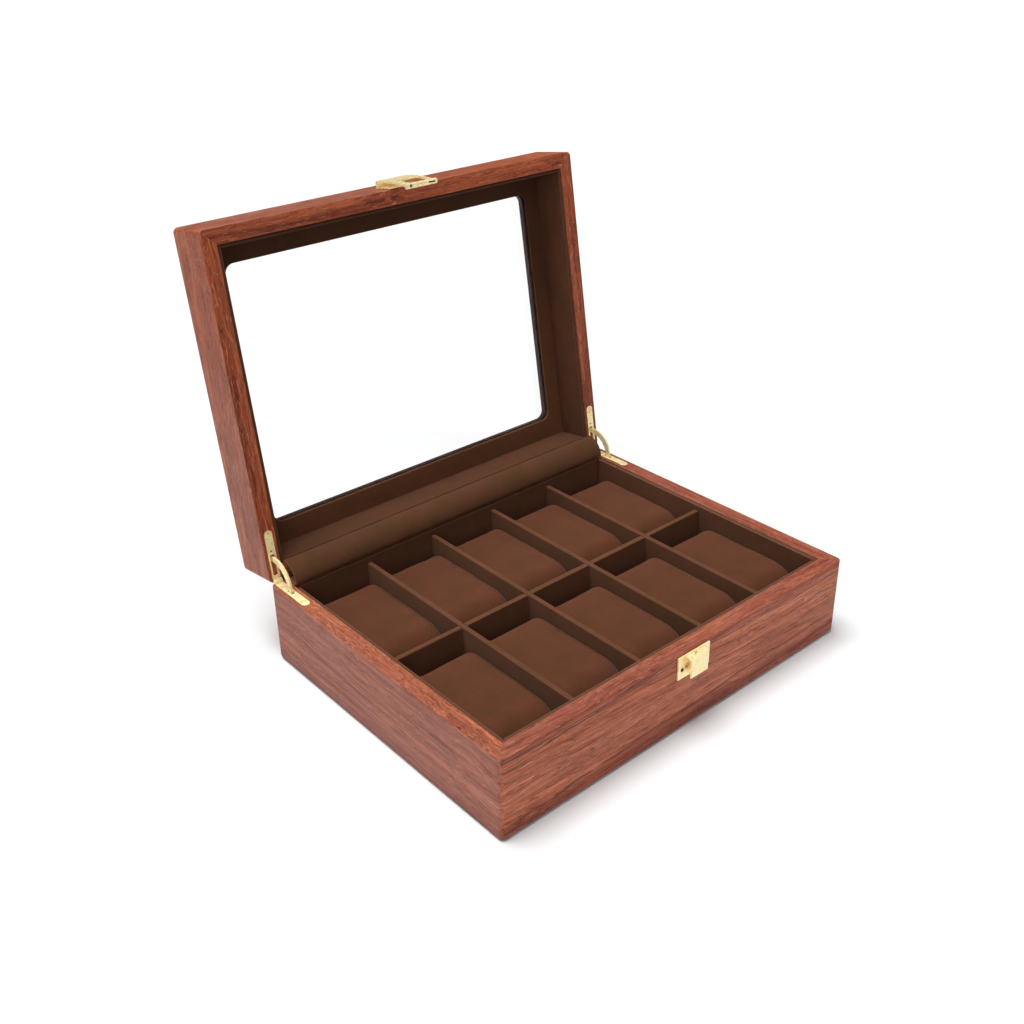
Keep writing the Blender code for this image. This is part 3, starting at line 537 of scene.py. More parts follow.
def rectangle_loop(half_x, half_y, radius, z, steps=8):
    """Points round a rectangle with round corners, at one height. A radius below nought counts as nought."""
    points = []
    for corner in range(4):
        across = 1 if corner in (0, 3) else -1
        along = 1 if corner in (0, 1) else -1
        for u, v in arc(max(radius, 0), corner * math.pi / 2, (corner + 1) * math.pi / 2, steps):
            centre_x = across * (half_x - max(radius, 0))
            centre_y = along * (half_y - max(radius, 0))
            points.append(Vector((centre_x + u, centre_y + v, z)))
    return points


def skin(loops):
    """A closed ring through loops of points that go round its section."""
    shape = bmesh.new()
    rows = [[shape.verts.new(point) for point in loop] for loop in loops]
    for row, following in zip(rows, rows[1:] + rows[:1]):
        for i in range(len(row)):
            k = (i + 1) % len(row)
            shape.faces.new((row[i], row[k], following[k], following[i]))
    bmesh.ops.remove_doubles(shape, verts=shape.verts, dist=1e-7)
    bmesh.ops.recalc_face_normals(shape, faces=shape.faces)
    return shape


def wall_section(thickness, low, high, low_radius, high_radius):
    """The section of a wall as (distance in from its outer face, height), with all its edges rounded."""
    section = []
    for radius, height, sign in ((low_radius, low, 1), (high_radius, high, -1)):
        start = -math.pi / 2 if sign > 0 else 0
        for u, v in arc(radius, start, start + math.pi / 2, 6):
            inset = radius - abs(u)
            section.append((inset, height + sign * radius + v))
    inner_high, inner_low = [], []
    for u, v in arc(INNER_RADIUS, 0, math.pi / 2, 3):
        inner_high.append((thickness - INNER_RADIUS + v, high - INNER_RADIUS + u))
        inner_low.append((thickness - INNER_RADIUS + u, low + INNER_RADIUS - v))
    return section + inner_high + inner_low


def wall_ring(thickness, low, high, low_radius, high_radius):
    loops = []
    for inset, z in wall_section(thickness, low, high, low_radius, high_radius):
        loops.append(rectangle_loop(HALF_WIDTH - inset, HALF_DEPTH - inset, CORNER_RADIUS - inset, z))
    return skin(loops)


def slice_off(shape, point, outward):
    """Removes what lies beyond a plane and closes the cut."""
    everything = shape.verts[:] + shape.edges[:] + shape.faces[:]
    done = bmesh.ops.bisect_plane(
        shape, geom=everything, dist=1e-7, plane_co=point, plane_no=outward, clear_outer=True
    )
    edges = [e for e in done["geom_cut"] if isinstance(e, bmesh.types.BMEdge)]
    bmesh.ops.holes_fill(shape, edges=edges, sides=0)


def side_frame(side, low):
    """Where a board's own axes are: X along it, Y in from its outer face, Z up from its lower edge."""
    half_span = HALF_DEPTH if side % 2 == 0 else HALF_WIDTH
    return Matrix.Rotation(side * math.pi / 2, 4, "Z") @ Matrix.Translation((0, -half_span, low))


def mitred_board(name, ring, side, low, gap=MITRE_GAP):
    """One board of four, cut from a ring at its mitres. Sides go front, right, back, left."""
    shape = ring.copy()
    to_board = side_frame(side, low).inverted()
    shape.transform(to_board)
    half_length = HALF_WIDTH if side % 2 == 0 else HALF_DEPTH
    for sign in (-1, 1):
        outward = Vector((sign, 1, 0)).normalized()
        corner = Vector((sign * half_length, 0, 0)) - outward * gap
        slice_off(shape, corner, outward)
    bmesh.ops.recalc_face_normals(shape, faces=shape.faces)
    mesh = bpy.data.meshes.new(name)
    shape.to_mesh(mesh)
    shape.free()
    board = new_object(name, mesh)
    board.matrix_world = side_frame(side, low)
    return board


def prism(outline, low, high, axes):
    """A cutter from an outline in the plane XY or YZ, between two places on the third axis."""
    shape = bmesh.new()
    ends = []
    for level in (low, high):
        spots = [(u, v, level) if axes == "XY" else (level, u, v) for u, v in outline]
        ends.append([shape.verts.new(spot) for spot in spots])
    shape.faces.new(ends[0])
    shape.faces.new(ends[1])
    for i in range(len(outline)):
        k = (i + 1) % len(outline)
        shape.faces.new((ends[0][i], ends[0][k], ends[1][k], ends[1][i]))
    bmesh.ops.recalc_face_normals(shape, faces=shape.faces)
    mesh = bpy.data.meshes.new("cutter")
    shape.to_mesh(mesh)
    shape.free()
    return new_object("cutter", mesh)


def carve(obj, cutters):
    """Cuts hidden cutters from a piece and keeps the result as its mesh."""
    for cutter in cutters:
        modifier = obj.modifiers.new("cut", "BOOLEAN")
        modifier.operation = "DIFFERENCE"
        modifier.solver = "EXACT"
        modifier.object = cutter
    bpy.context.view_layer.update()
    graph = bpy.context.evaluated_depsgraph_get()
    mesh = bpy.data.meshes.new_from_object(obj.evaluated_get(graph))
    obj.modifiers.clear()
    obj.data = mesh


def smooth(obj, angle=35):
    """Smooth shading that leaves wide flats flat and sharp edges sharp."""
    obj.data.shade_smooth()
    obj.data.set_sharp_from_angle(angle=math.radians(angle))
    normals = obj.modifiers.new("flat_flats", "WEIGHTED_NORMAL")
    normals.keep_sharp = True


def paint(obj, *materials):
    obj.data.materials.clear()
    for material in materials:
        obj.data.materials.append(material)


def paint_by_side(obj, face, rim):
    """One veneer on a board's faces and another on its narrow edges."""
    paint(obj, face, rim)
    for polygon in obj.data.polygons:
        polygon.material_index = 1 if abs(polygon.normal.z) > 0.7 else 0


# ---------------------------------------------------------------- boards


def hinge_cutters(sign, up):
    """The recess of a leaf, its knuckles' room and the stop arm's mortise. up is -1 in the base."""
    x = sign * HINGE_X
    half = LEAF_WIDTH / 2 + LEAF_GAP
    end_y = HALF_DEPTH - LEAF_LENGTH + LEAF_WIDTH / 2
    plan = [(x + half, HALF_DEPTH + 2 * MM)]
    plan += [(x + u, end_y + v) for u, v in arc(half, 0, -math.pi, 16)]
    plan += [(x - half, HALF_DEPTH + 2 * MM)]
    floor, above = HINGE_Z + up * LEAF_DEPTH, HINGE_Z - up * 2 * MM
    recess = prism(plan, min(floor, above), max(floor, above), "XY")
    circle = [(HALF_DEPTH + u, HINGE_Z + v) for u, v in arc(KNUCKLE_ROOM, 0, 2 * math.pi, 32)[:-1]]
    room = prism(circle, x - half, x + half, "YZ")
    start, end = math.pi + up * ARM_SLACK, math.pi - up * (ARM_HALF_SPAN + ARM_SLACK)
    band = arc(ARM_RADIUS + ARM_ROOM, start, end, 20) + arc(ARM_RADIUS - ARM_ROOM, end, start, 20)
    band = [(HALF_DEPTH + u, HINGE_Z + v) for u, v in band]
    mortise = prism(band, x - ARM_SLOT / 2, x + ARM_SLOT / 2, "YZ")
    return [recess, room, mortise]


SIDES = ("front", "right", "back", "left")


def boards(body, ring, low, up, looks, seed):
    """The four walls of the base or the lid, with the hinges let into them, painted and in place."""
    cutters = {sign: hinge_cutters(sign, up) for sign in (-1, 1)}
    for i, side in enumerate(SIDES):
        board = mitred_board(f"{body}_board_{side}", ring, i, low)
        needed = {"front": (), "right": (1,), "back": (-1, 1), "left": (-1,)}[side]
        carve(board, [cutter for sign in needed for cutter in cutters[sign]])
        face = rosewood(f"rosewood_{body}_{side}", seed + i, looks[side])
        rim = rosewood(f"rosewood_{body}_{side}_rim", seed + i + 0.5, looks[side + "_rim"])
        paint_by_side(board, face, rim)
        smooth(board)
        if body == "lid":
            board.matrix_world = lid_open @ board.matrix_world
        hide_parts(f"{body}_{side}_wall")
        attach(board, body)
    for pair in cutters.values():
        for cutter in pair:
            bpy.data.objects.remove(cutter)


FRONT_LOOK = {
    "slope": 0.03,
    "dark_band": (9, 46, (0.70, 0.58, 0.60)),
    "line_strength": 0.66,
    "veins": (
        (49.0, 0.055, 0.60, 0.95),
        (45.0, -0.015, 0.45, 0.85),
        (40.0, -0.050, 0.70, 0.75),
        (33.0, -0.060, 0.45, 0.70),
        (24.0, 0.020, 0.35, 0.60),
        (12.0, 0.030, 0.90, 0.75),
        (6.0, 0.015, 0.60, 0.70),
    ),
}
# The side boards' veneer: their paler, less saturated colours are painted reflection of the white room in the
# lacquer at a grazing angle.
LEFT_LOOK = {
    "dark": (0.220, 0.072, 0.047),
    "middle": (0.328, 0.112, 0.072),
    "light": (0.415, 0.156, 0.105),
    "line": (0.115, 0.038, 0.028),
    "line_strength": 0.45,
    "dark_band": (8, 60, (0.80, 0.70, 0.74)),
}
RED_RIM = {
    "dark": (0.175, 0.046, 0.026),
    "middle": (0.300, 0.086, 0.050),
    "light": (0.400, 0.135, 0.080),
    "line": (0.080, 0.020, 0.013),
    "grain_width": 2.2,
    "line_cover": 0.32,
    "line_strength": 0.6,
}
CURLY_RIM = {
    **RED_RIM,
    "dark": (0.150, 0.040, 0.022),
    "middle": (0.325, 0.092, 0.047),
    "light": (0.480, 0.165, 0.085),
    "line_strength": 0.75,
    "curl": 4.0,
    "bend": 6.0,
    "bend_length": 45.0,
}
LID_SIDE = {
    "dark": (0.208, 0.061, 0.034),
    "middle": (0.332, 0.101, 0.057),
    "light": (0.435, 0.147, 0.086),
    "warm_end": (-40, 60, (1.0, 1.02, 1.05), (1.04, 0.86, 0.68)),
    "slope": 0.12,
    "bend": 8.0,
    "bend_length": 70.0,
    "line_strength": 0.45,
}
LID_RIM_LOOK = {
    "dark": (0.140, 0.027, 0.011),
    "middle": (0.320, 0.070, 0.027),
    "light": (0.490, 0.130, 0.052),
    "curl": 2.5,
    "bend": 5.0,
    "bend_length": 60.0,
    "grain_width": 2.8,
    "line_cover": 0.36,
}


def base_boards():
    looks = {
        "front": FRONT_LOOK,
        "right": LEFT_LOOK,
        "back": FRONT_LOOK,
        "left": LEFT_LOOK,
        "front_rim": RED_RIM,
        "right_rim": RED_RIM,
        "back_rim": RED_RIM,
        "left_rim": CURLY_RIM,
    }
    ring = wall_ring(BASE_WALL, BASE_BOTTOM, BASE_RIM, OUTER_RADIUS, RIM_RADIUS)
    boards("base", ring, BASE_BOTTOM, -1, looks, seed=1)


def lid_boards():
    looks = {side: LID_SIDE for side in SIDES}
    looks.update({side + "_rim": LID_RIM_LOOK for side in SIDES})
    ring = wall_ring(LID_WALL, LID_RIM, LID_TOP, RIM_RADIUS, OUTER_RADIUS)
    boards("lid", ring, LID_RIM, 1, looks, seed=21)


def lid_piece(name, shape, material, stands_for):
    """Turns a shape made with the lid shut into a painted piece of the open lid."""
    mesh = bpy.data.meshes.new(name)
    shape.to_mesh(mesh)
    shape.free()
    piece = new_object(name, mesh)
    paint(piece, material)
    smooth(piece)
    piece.matrix_world = lid_open
    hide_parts(stands_for)
    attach(piece, "lid")
    return piece


def top_frame(material):
    """The panel of the lid's top: rounded round the window, with the rabbet that holds the glass."""
    half_x = HALF_WIDTH - LID_WALL - PANEL_GAP
    half_y = HALF_DEPTH - LID_WALL - PANEL_GAP
    bottom = LID_TOP - TOP_FRAME
    rabbet = bottom + GLASS_DEPTH
    nose_low = LID_TOP - WINDOW_NOSE
    lap_x, lap_y = WINDOW_X + GLASS_LAP, WINDOW_Y + GLASS_LAP
    loops = [
        rectangle_loop(half_x, half_y, SQUARE_CORNER, bottom),
        rectangle_loop(half_x, half_y, SQUARE_CORNER, LID_TOP - PANEL_EDGE),
        rectangle_loop(half_x - PANEL_EDGE, half_y - PANEL_EDGE, SQUARE_CORNER, LID_TOP),
    ]
    for u, v in arc(WINDOW_NOSE, math.pi / 2, 0, 5):
        grow = WINDOW_NOSE - u
        corner = WINDOW_RADIUS + grow
        loops.append(rectangle_loop(WINDOW_X + grow, WINDOW_Y + grow, corner, nose_low + v))
    loops += [
        rectangle_loop(WINDOW_X, WINDOW_Y, WINDOW_RADIUS, rabbet),
        rectangle_loop(lap_x, lap_y, SQUARE_CORNER, rabbet),
        rectangle_loop(lap_x, lap_y, SQUARE_CORNER, bottom),
    ]
    panel = lid_piece("lid_panel", skin(loops), material, "lid_top_frame")
    panel.data.materials.append(dark_edge())
    for polygon in panel.data.polygons:
        x, y, z = polygon.center
        in_window = abs(x) < lap_x and abs(y) < lap_y
        if in_window and (abs(polygon.normal.z) < 0.5 or z < nose_low):
            polygon.material_index = 1
    return panel


def inner_board(material):
    """The velvet-covered board round the window, inside the lid, with the pile turned over its edges."""
    half_x = HALF_WIDTH - LID_WALL - BOARD_GAP
    half_y = HALF_DEPTH - LID_WALL - BOARD_GAP
    top = LID_TOP - TOP_FRAME - BOARD_GAP
    radius = INNER_BOARD / 2
    loops = [rectangle_loop(half_x, half_y, SQUARE_CORNER, z) for z in (top, top - INNER_BOARD)]
    for u, v in arc(radius, -math.pi / 2, math.pi / 2, 6):
        grow = radius - u
        corner = WINDOW_RADIUS + grow
        loops.append(rectangle_loop(WINDOW_X + grow, WINDOW_Y + grow, corner, top - radius + v))
    return lid_piece("lid_velvet_board", skin(loops), material, "lid_inner_board")


def velvet_boards(material, lid_material, shaded_material):
    """Linings and dividers: the CAD boards with round, padded edges."""
    names = [n for n in nodes if n.startswith(("lining_", "divider_", "lid_lining_"))]
    # The lid's front lining gets a darker copy of the velvet, as painted shade.
    special = {"lid_lining_front": shaded_material}
    for name in names:
        soften(nodes[name], VELVET_EDGE, 3)
        paint(nodes[name], special.get(name, lid_material if name.startswith("lid_") else material))


def soften(obj, width, segments):
    """Rounds a CAD piece's edges with modifiers, which leave its own vertices as they are."""
    weld = obj.modifiers.new("weld", "WELD")
    weld.merge_threshold = 1e-6
    bevel = obj.modifiers.new("round_edges", "BEVEL")
    bevel.width = width
    bevel.segments = segments
    bevel.limit_method = "ANGLE"
    bevel.angle_limit = math.radians(40)
    bevel.harden_normals = False
    obj.data.shade_smooth()
    normals = obj.modifiers.new("flat_flats", "WEIGHTED_NORMAL")
    normals.keep_sharp = False


def hollow_faces(obj):
    """The faces down in a piece's own holes, slots and grooves, where most ways out are blocked."""
    corners = [vert.co for vert in obj.data.vertices]
    tree = BVHTree.FromPolygons(corners, [polygon.vertices for polygon in obj.data.polygons])
    found = []
    for polygon in obj.data.polygons:
        normal = polygon.normal
        aside = normal.orthogonal().normalized()
        blocked = 0
        for i in range(HOLLOW_RAYS):
            lean = Quaternion(normal, i * 2 * math.pi / HOLLOW_RAYS) @ aside
            ray = normal * math.cos(HOLLOW_LEAN) + lean * math.sin(HOLLOW_LEAN)
            hit = tree.ray_cast(polygon.center + normal * HOLLOW_LIFT, ray, HOLLOW_REACH)
            blocked += hit[0] is not None
        if blocked > HOLLOW_SHARE * HOLLOW_RAYS:
            found.append(polygon)
    return found


def fittings(material, dark, browned):
    """The brass pieces, with their edges broken and their hollows darkened with painted shade and some
    tarnish.
    """
    names = [n for n in nodes if n.startswith(("hinge_", "catch_", "hasp_")) and n != "hinge_cloth"]
    special = {"catch_nail": dark, "catch_screw": browned}
    for name in names:
        soften(nodes[name], BRASS_EDGE, 2)
        paint(nodes[name], special.get(name, material), dark)
        # Faces deep in holes, slots and grooves get the near-black material: painted shade, part tarnish.
        for polygon in hollow_faces(nodes[name]):
            polygon.material_index = 1


# ---------------------------------------------------------------- cushions

CUSHION_CORNERS = (8 * MM, 15 * MM, 6 * MM, 6 * MM)
CUSHION_INSET = 1.0 * MM
CUSHION_DROP = 0.4 * MM
CUSHION_TWIST = 0.5 * MM
CUSHION_TURN = 0.6
CUSHION_CROWN = 0.8 * MM
CROWN_SHARPNESS = 8
CROWN_REACH = 0.3
END_CROWN = 0.6 * CUSHION_CROWN
CUSHION_STEPS = 72
CUSHION_ROWS = 12
CUSHION_CAP_ROWS = 5
SIM_SCALE = 10
SIM_FRAMES = 20
SWELL_CAP = 0.5 * MM
RUFFLE_WIDTH = 16 * MM
RUFFLE_DEPTH = 0.35 * MM


def side_outline(length, height, corners):
    """The cushion from its side, in even steps. Its corners' radii start at the top of the back."""
    half_y, half_z = length / 2, height / 2
    outline = []
    places = ((1, 1), (-1, 1), (-1, -1), (1, -1))
    for i, (across, up) in enumerate(places):
        radius = corners[i]
        for u, v in arc(radius, i * math.pi / 2, (i + 1) * math.pi / 2, 10):
            outline.append(Vector((across * (half_y - radius) + u, up * (half_z - radius) + v)))
    return even_steps(outline, CUSHION_STEPS)


def even_steps(outline, count):
    """The same closed outline, walked in equal steps."""
    closed = outline + outline[:1]
    lengths = [(b - a).length for a, b in zip(closed, closed[1:])]
    step = sum(lengths) / count
    points, travelled, target = [], 0.0, 0.0
    for a, b, length in zip(closed, closed[1:], lengths):
        while target < travelled + length - 1e-9 and len(points) < count:
            points.append(a.lerp(b, (target - travelled) / length))
            target += step
        travelled += length
    return points


def cushion_mesh(name, width, length, height, twist):
    """A closed cushion of one strip round the outline and a panel on each side. It marks its two seams, to
    hold them in the simulation and to darken them with painted shade.
    """
    outline = side_outline(length, height, CUSHION_CORNERS)
    half = width / 2
    shape = bmesh.new()
    layer = shape.verts.layers.float.new("seam_shade")
    rings = [(-half, k / CUSHION_CAP_ROWS) for k in range(1, CUSHION_CAP_ROWS)]
    rings += [(-half + width * k / CUSHION_ROWS, 1.0) for k in range(CUSHION_ROWS + 1)]
    rings += [(half, 1 - k / CUSHION_CAP_ROWS) for k in range(1, CUSHION_CAP_ROWS)]
    rows = []
    for x, size in rings:
        row = [shape.verts.new((x, p.x * size, p.y * size)) for p in outline]
        for vert in row:
            # The seam rings are marked for full painted shade.
            vert[layer] = 1.0 if size == 1.0 and abs(abs(x) - half) < 1e-9 else 0.0
        rows.append(row)
    for row, following in zip(rows, rows[1:]):
        for i in range(CUSHION_STEPS):
            k = (i + 1) % CUSHION_STEPS
            shape.faces.new((row[i], row[k], following[k], following[i]))
    for x, row in ((-half, rows[0]), (half, rows[-1])):
        centre = shape.verts.new((x, 0, 0))
        for i in range(CUSHION_STEPS):
            shape.faces.new((row[i], row[(i + 1) % CUSHION_STEPS], centre))
    bmesh.ops.recalc_face_normals(shape, faces=shape.faces)
    crown(shape, half, length, height)
    for vert in shape.verts:
        vert.co.x += twist * (vert.co.z / height)
    mesh = bpy.data.meshes.new(name)
    shape.to_mesh(mesh)
    shape.free()
    return mesh


def crown(shape, half, length, height):
    """Pulls the cushion in towards its two seams, at its ends and on top."""
    for vert in shape.verts:
        pull = min(1.0, abs(vert.co.x) / half) ** CROWN_SHARPNESS
        along = min(1.0, abs(vert.co.y) / (CROWN_REACH * length))
        vert.co.y -= math.copysign(END_CROWN * pull, vert.co.y) * along
        if vert.co.z > 0:
            vert.co.z -= CUSHION_CROWN * pull * min(1.0, vert.co.z / (CROWN_REACH * height))


def inflate(mesh):
    """Swells the cushion under pressure by cloth simulation, with its seams and its underside held."""
    work = new_object("swelling", mesh.copy())
    work.data.transform(Matrix.Scale(SIM_SCALE, 4))
    held = work.vertex_groups.new(name="held")
    lowest = min(v.co.z for v in work.data.vertices)
    for vert in work.data.vertices:
        seam_shade = work.data.attributes["seam_shade"].data[vert.index].value
        if seam_shade > 0.5 or vert.co.z < lowest + 0.1 * MM * SIM_SCALE:
            held.add([vert.index], 1.0, "REPLACE")
    cloth = work.modifiers.new("cloth", "CLOTH")
    settings = cloth.settings
    settings.quality = 6
    settings.mass = 0.3
    settings.use_pressure = True
    settings.uniform_pressure_force = 1.3
    settings.tension_stiffness = 12
    settings.compression_stiffness = 12
    settings.bending_stiffness = 0.8
    settings.shrink_min = -0.012
    settings.vertex_group_mass = "held"
    settings.effector_weights.gravity = 0
    cloth.collision_settings.use_collision = False
    scene = bpy.context.scene
    for step in range(1, SIM_FRAMES + 1):
        scene.frame_set(step)
    graph = bpy.context.evaluated_depsgraph_get()
    swollen = work.evaluated_get(graph).data
    for vert, moved in zip(mesh.vertices, swollen.vertices):
        offset = moved.co / SIM_SCALE - vert.co
        if offset.length > SWELL_CAP:
            offset *= SWELL_CAP / offset.length
        vert.co += offset
    scene.frame_set(1)
    bpy.data.objects.remove(work)


def ruffle(mesh, seed):
    """Small uneven swells in the filling."""
    for vert in mesh.vertices:
        where = vert.co / RUFFLE_WIDTH + Vector((seed * 7.3, seed * 3.1, 0))
        vert.co += vert.normal * noise.noise(where) * RUFFLE_DEPTH


def cushion(name, seed, material):
    """One lift-out cushion in the space of its CAD solid."""
    draw = random.Random(seed)
    low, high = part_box(name)
    width, length, height = (side - CUSHION_INSET for side in high - low)
    twist = draw.uniform(-CUSHION_TWIST, CUSHION_TWIST)
    mesh = cushion_mesh(name + "_cover", width, length, height, twist)
    inflate(mesh)
    ruffle(mesh, seed)
    piece = new_object(name + "_cover", mesh)
    finer = piece.modifiers.new("finer", "SUBSURF")
    finer.levels = 1
    finer.render_levels = 1
    mesh.shade_smooth()
    paint(piece, material)
    middle = (low + high) / 2
    turn = Matrix.Rotation(math.radians(draw.uniform(-CUSHION_TURN, CUSHION_TURN)), 4, "Z")
    piece.matrix_world = Matrix.Translation(middle - Vector((0, 0, CUSHION_DROP))) @ turn
    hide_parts(name)
    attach(piece, name)
    return piece


def cushions(material):
    names = sorted(n for n in nodes if n.startswith("pillow_"))
    for i, name in enumerate(names):
        cushion(name, 11 + i, material)


# ---------------------------------------------------------------- hinge cloth


def hinge_side(x, radius, angle):
    """A point beside the hinge axis, by its distance and direction from it."""
    return Vector((x, HINGE_POINT.y + radius * math.cos(angle), HINGE_POINT.z + radius * math.sin(angle)))


def close_sheet(shape, rows):
    """Joins the rows of a thin sheet into a closed skin. A row runs out on one face and back on the other."""
    for row, following in zip(rows, rows[1:]):
        for i in range(len(row)):
            k = (i + 1) % len(row)
            shape.faces.new((row[i], row[k], following[k], following[i]))
    for row in (rows[0], rows[-1]):
        for i in range(len(row) // 2 - 1):
            shape.faces.new((row[i], row[i + 1], row[-i - 2], row[-i - 1]))


def strip_tab(shape, layer, near_x, far_x, turns=10):
    """A thin sheet behind and beside the strip's end, close round the axis, to close the joint; it is painted
    dark all over as painted shade.
    """
    half = CLOTH_TAB_THICKNESS / 2
    start, end = math.pi + CLOTH_TAB_OVERRUN, math.pi - LID_OPENING - CLOTH_TAB_OVERRUN
    rows = []
    for x in (near_x, far_x):
        row = []
        for radius, order in ((CLOTH_TAB_RADIUS + half, 1), (CLOTH_TAB_RADIUS - half, -1)):
            for i in range(turns + 1)[::order]:
                vert = shape.verts.new(hinge_side(x, radius, start + (end - start) * i / turns))
                # The whole tab is marked for full painted shade.
                vert[layer] = 1.0
                row.append(vert)
        rows.append(row)
    close_sheet(shape, rows)


def strip_row(shape, layer, x, start, end):
    """One section of the velvet strip: bowed in the middle, and tucked in at both ends, where painted shade
    darkens it.
    """
    depth, length = CLOTH_WAVE
    outer, inner = [], []
    for i in range(CLOTH_TURNS + 1):
        share = i / CLOTH_TURNS
        to_end = min(share, 1 - share)
        wave = depth * noise.noise(Vector((x / length, share * 2, 0)))
        middle = CLOTH_RADIUS + (CLOTH_BULGE + wave) * math.sin(math.pi * share)
        middle -= CLOTH_TUCK * max(0.0, 1 - to_end / CLOTH_TUCK_REACH) ** 1.5
        for points, side in ((outer, 1), (inner, -1)):
            radius = middle + side * CLOTH_THICKNESS / 2
            vert = shape.verts.new(hinge_side(x, radius, start + (end - start) * share))
            # Painted shade deepens towards the strip's tucked ends.
            vert[layer] = max(0.0, 1 - to_end / CLOTH_SEAM_SHADE_REACH)
            points.append(vert)
    return outer + inner[::-1]


def hinge_strip(material):
    """The velvet strip across the joint at the back, as it lies with the lid open. It bows inwards."""
    low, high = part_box("hinge_cloth")
    start, end = math.pi - CLOTH_END, math.pi - LID_OPENING + CLOTH_LID_END
    shape = bmesh.new()
    layer = shape.verts.layers.float.new("seam_shade")
    places = [low.x + (high.x - low.x) * k / CLOTH_COLUMNS for k in range(CLOTH_COLUMNS + 1)]
    close_sheet(shape, [strip_row(shape, layer, x, start, end) for x in places])
    for edge_x, sign in ((low.x, -1), (high.x, 1)):
        inward, outward = CLOTH_TAB
        strip_tab(shape, layer, edge_x - sign * inward, edge_x + sign * outward)
    bmesh.ops.recalc_face_normals(shape, faces=shape.faces)
    mesh = bpy.data.meshes.new("hinge_strip")
    shape.to_mesh(mesh)
    shape.free()
    strip = new_object("hinge_strip", mesh)
    mesh.shade_smooth()
    mesh.set_sharp_from_angle(angle=math.radians(50))
    paint(strip, material)
    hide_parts("hinge_cloth")
    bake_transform(strip)


# ---------------------------------------------------------------- studio

CAMERA_AIM = Vector((-1.2, 38.8, 101.6)) * MM
CAMERA_DISTANCE = 685.8 * MM
CAMERA_AZIMUTH, CAMERA_ELEVATION, CAMERA_ROLL = -40.51, 27.14, -0.99
CAMERA_LENS = 42.04
CAMERA_RISE = -0.0418
SENSOR_WIDTH = 36
SKY_SEEN = 1.1
SKY_LOW, SKY_HIGH = 0.020, 0.0575
FLOOR_HALF = 6
FLOOR_DROP = 0.05 * MM


def direction(azimuth, elevation):
    a, e = math.radians(azimuth), math.radians(elevation)
    return Vector((math.sin(a) * math.cos(e), -math.cos(a) * math.cos(e), math.sin(e)))


def camera():
    lens = bpy.data.cameras.new("camera")
    lens.lens = CAMERA_LENS
    lens.sensor_width = SENSOR_WIDTH
    lens.shift_y = CAMERA_RISE
    lens.clip_start = 0.01
    view = new_object("camera", lens)
    back = direction(CAMERA_AZIMUTH, CAMERA_ELEVATION)
    view.location = CAMERA_AIM + back * CAMERA_DISTANCE
    view.rotation_mode = "QUATERNION"
    roll = Quaternion((0, 0, 1), math.radians(CAMERA_ROLL))
    view.rotation_quaternion = (-back).to_track_quat("-Z", "Y") @ roll
    bpy.context.scene.camera = view


def soft_light(name, azimuth, elevation, spread, power):
    """A wide soft light that comes from one part of the sky, the same everywhere on the floor."""
    light = bpy.data.lights.new(name, "SUN")
    light.angle = math.radians(spread)
    light.energy = power
    lamp = new_object(name, light)
    back = direction(azimuth, elevation)
    lamp.location = back
    lamp.rotation_mode = "QUATERNION"
    lamp.rotation_quaternion = (-back).to_track_quat("-Z", "Y")


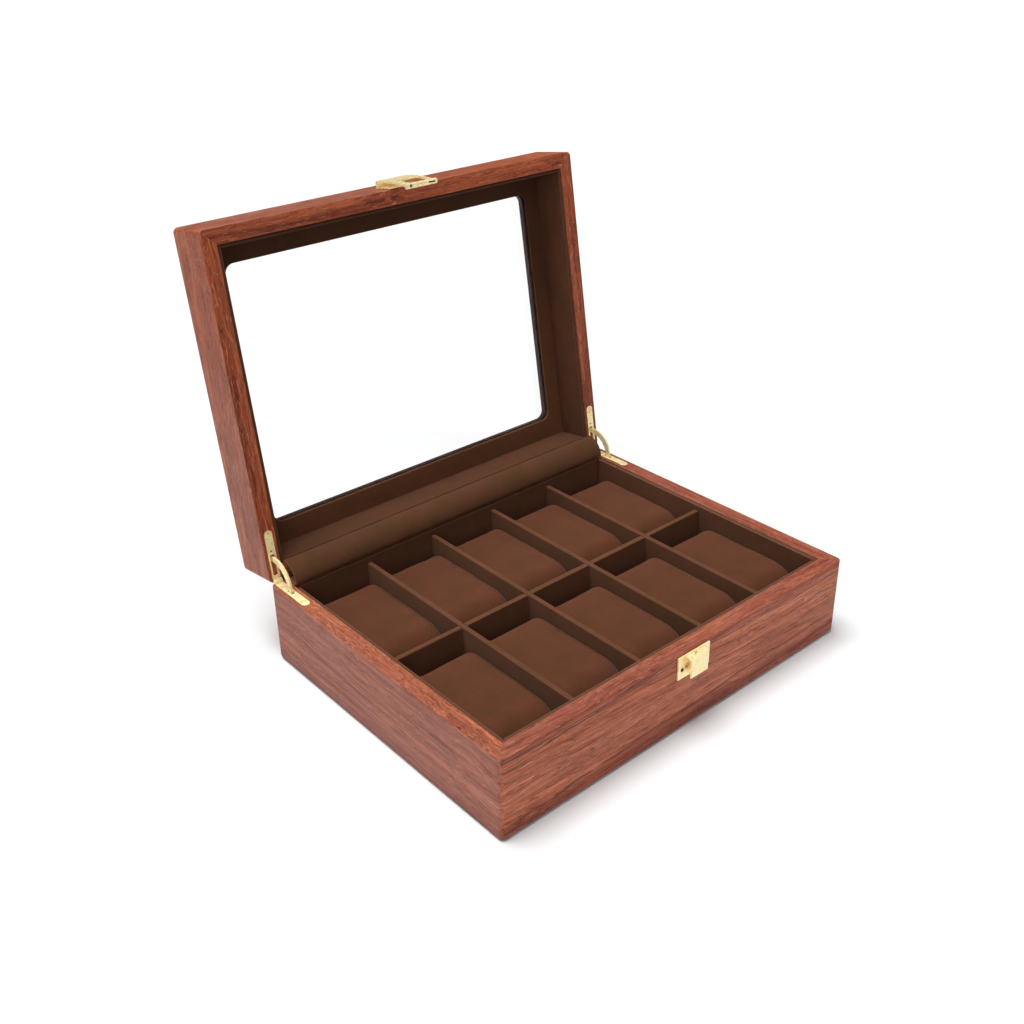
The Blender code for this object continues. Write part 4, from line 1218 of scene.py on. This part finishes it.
def world():
    """A white room: full white where it is seen, and dim where it lights, as the soft lights do that."""
    made = bpy.data.worlds.new("white_room")
    bpy.context.scene.world = made
    made.use_nodes = True
    tree = made.node_tree
    background = tree.nodes["Background"]
    background.inputs["Color"].default_value = (1, 1, 1, 1)
    path = tree.nodes.new("ShaderNodeLightPath")
    seen = tree.nodes.new("ShaderNodeMath")
    seen.operation = "MAXIMUM"
    tree.links.new(path.outputs["Is Camera Ray"], seen.inputs[0])
    tree.links.new(path.outputs["Is Transmission Ray"], seen.inputs[1])
    strength = tree.nodes.new("ShaderNodeMapRange")
    strength.inputs["To Max"].default_value = SKY_SEEN
    tree.links.new(seen.outputs[0], strength.inputs["Value"])
    tree.links.new(strength.outputs[0], background.inputs["Strength"])
    place = tree.nodes.new("ShaderNodeTexCoord")
    height = tree.nodes.new("ShaderNodeSeparateXYZ")
    tree.links.new(place.outputs["Generated"], height.inputs[0])
    sky = tree.nodes.new("ShaderNodeMapRange")
    sky.interpolation_type = "SMOOTHSTEP"
    sky.inputs["From Min"].default_value = 0.0
    sky.inputs["From Max"].default_value = 0.9
    sky.inputs["To Min"].default_value = SKY_LOW
    sky.inputs["To Max"].default_value = SKY_HIGH
    tree.links.new(height.outputs["Z"], sky.inputs["Value"])
    tree.links.new(sky.outputs[0], strength.inputs["To Min"])


def floor():
    shader = Shader("floor")
    tone = shader.noise(shader.scale(shader.place(), (0.01, 0.01, 0.01)), detail=2)
    colour = shader.ramp(tone, ((0.3, (0.795, 0.804, 0.808)), (0.7, (0.805, 0.814, 0.818))))
    material = shader.finish(Base_Color=colour, Roughness=0.9, Specular_IOR_Level=0.1)
    shape = bmesh.new()
    bmesh.ops.create_grid(shape, x_segments=1, y_segments=1, size=FLOOR_HALF)
    mesh = bpy.data.meshes.new("floor")
    shape.to_mesh(mesh)
    shape.free()
    ground = new_object("floor", mesh)
    ground.location.z = -FLOOR_DROP
    paint(ground, material)


def studio():
    world()
    floor()
    camera()
    soft_light("key", -125, 78, 34, 3.6)
    soft_light("fill", -35, 35, 60, 0.9)
    bpy.context.scene.view_settings.view_transform = "Standard"


def build():
    board_velvet = velvet("velvet", (0.112, 0.044, 0.0215), wear_and_highlight=0.85)
    lid_velvet = velvet("lid_velvet", (0.088, 0.032, 0.0145), wear_and_highlight=0.3)
    # A darker copy of the velvet: painted shade for the lid's front lining.
    shaded_velvet = velvet("shaded_velvet", (0.056, 0.023, 0.0115), wear_and_highlight=0.2)
    base_boards()
    lid_boards()
    top_frame(rosewood("rosewood_panel", 41, LID_SIDE))
    # The window board's velvet gets painted shade, darker towards its front.
    inner_board(velvet("window_velvet", (0.112, 0.043, 0.020), wear_and_highlight=0.3, front_shade=0.5))
    velvet_boards(board_velvet, lid_velvet, shaded_velvet)
    cushions(velvet("cushion_velvet", (0.094, 0.0325, 0.0150), seam_shade=True))
    hinge_strip(velvet("strip_velvet", (0.100, 0.042, 0.019), wear_and_highlight=0.15, seam_shade=True))
    fittings(brass(), shade_and_tarnish(), old_brass())
    paint(nodes["lid_glass"], glass())
    paint(nodes["underside_felt"], felt())
    paint(nodes["base_bottom"], plywood())


build()
studio()
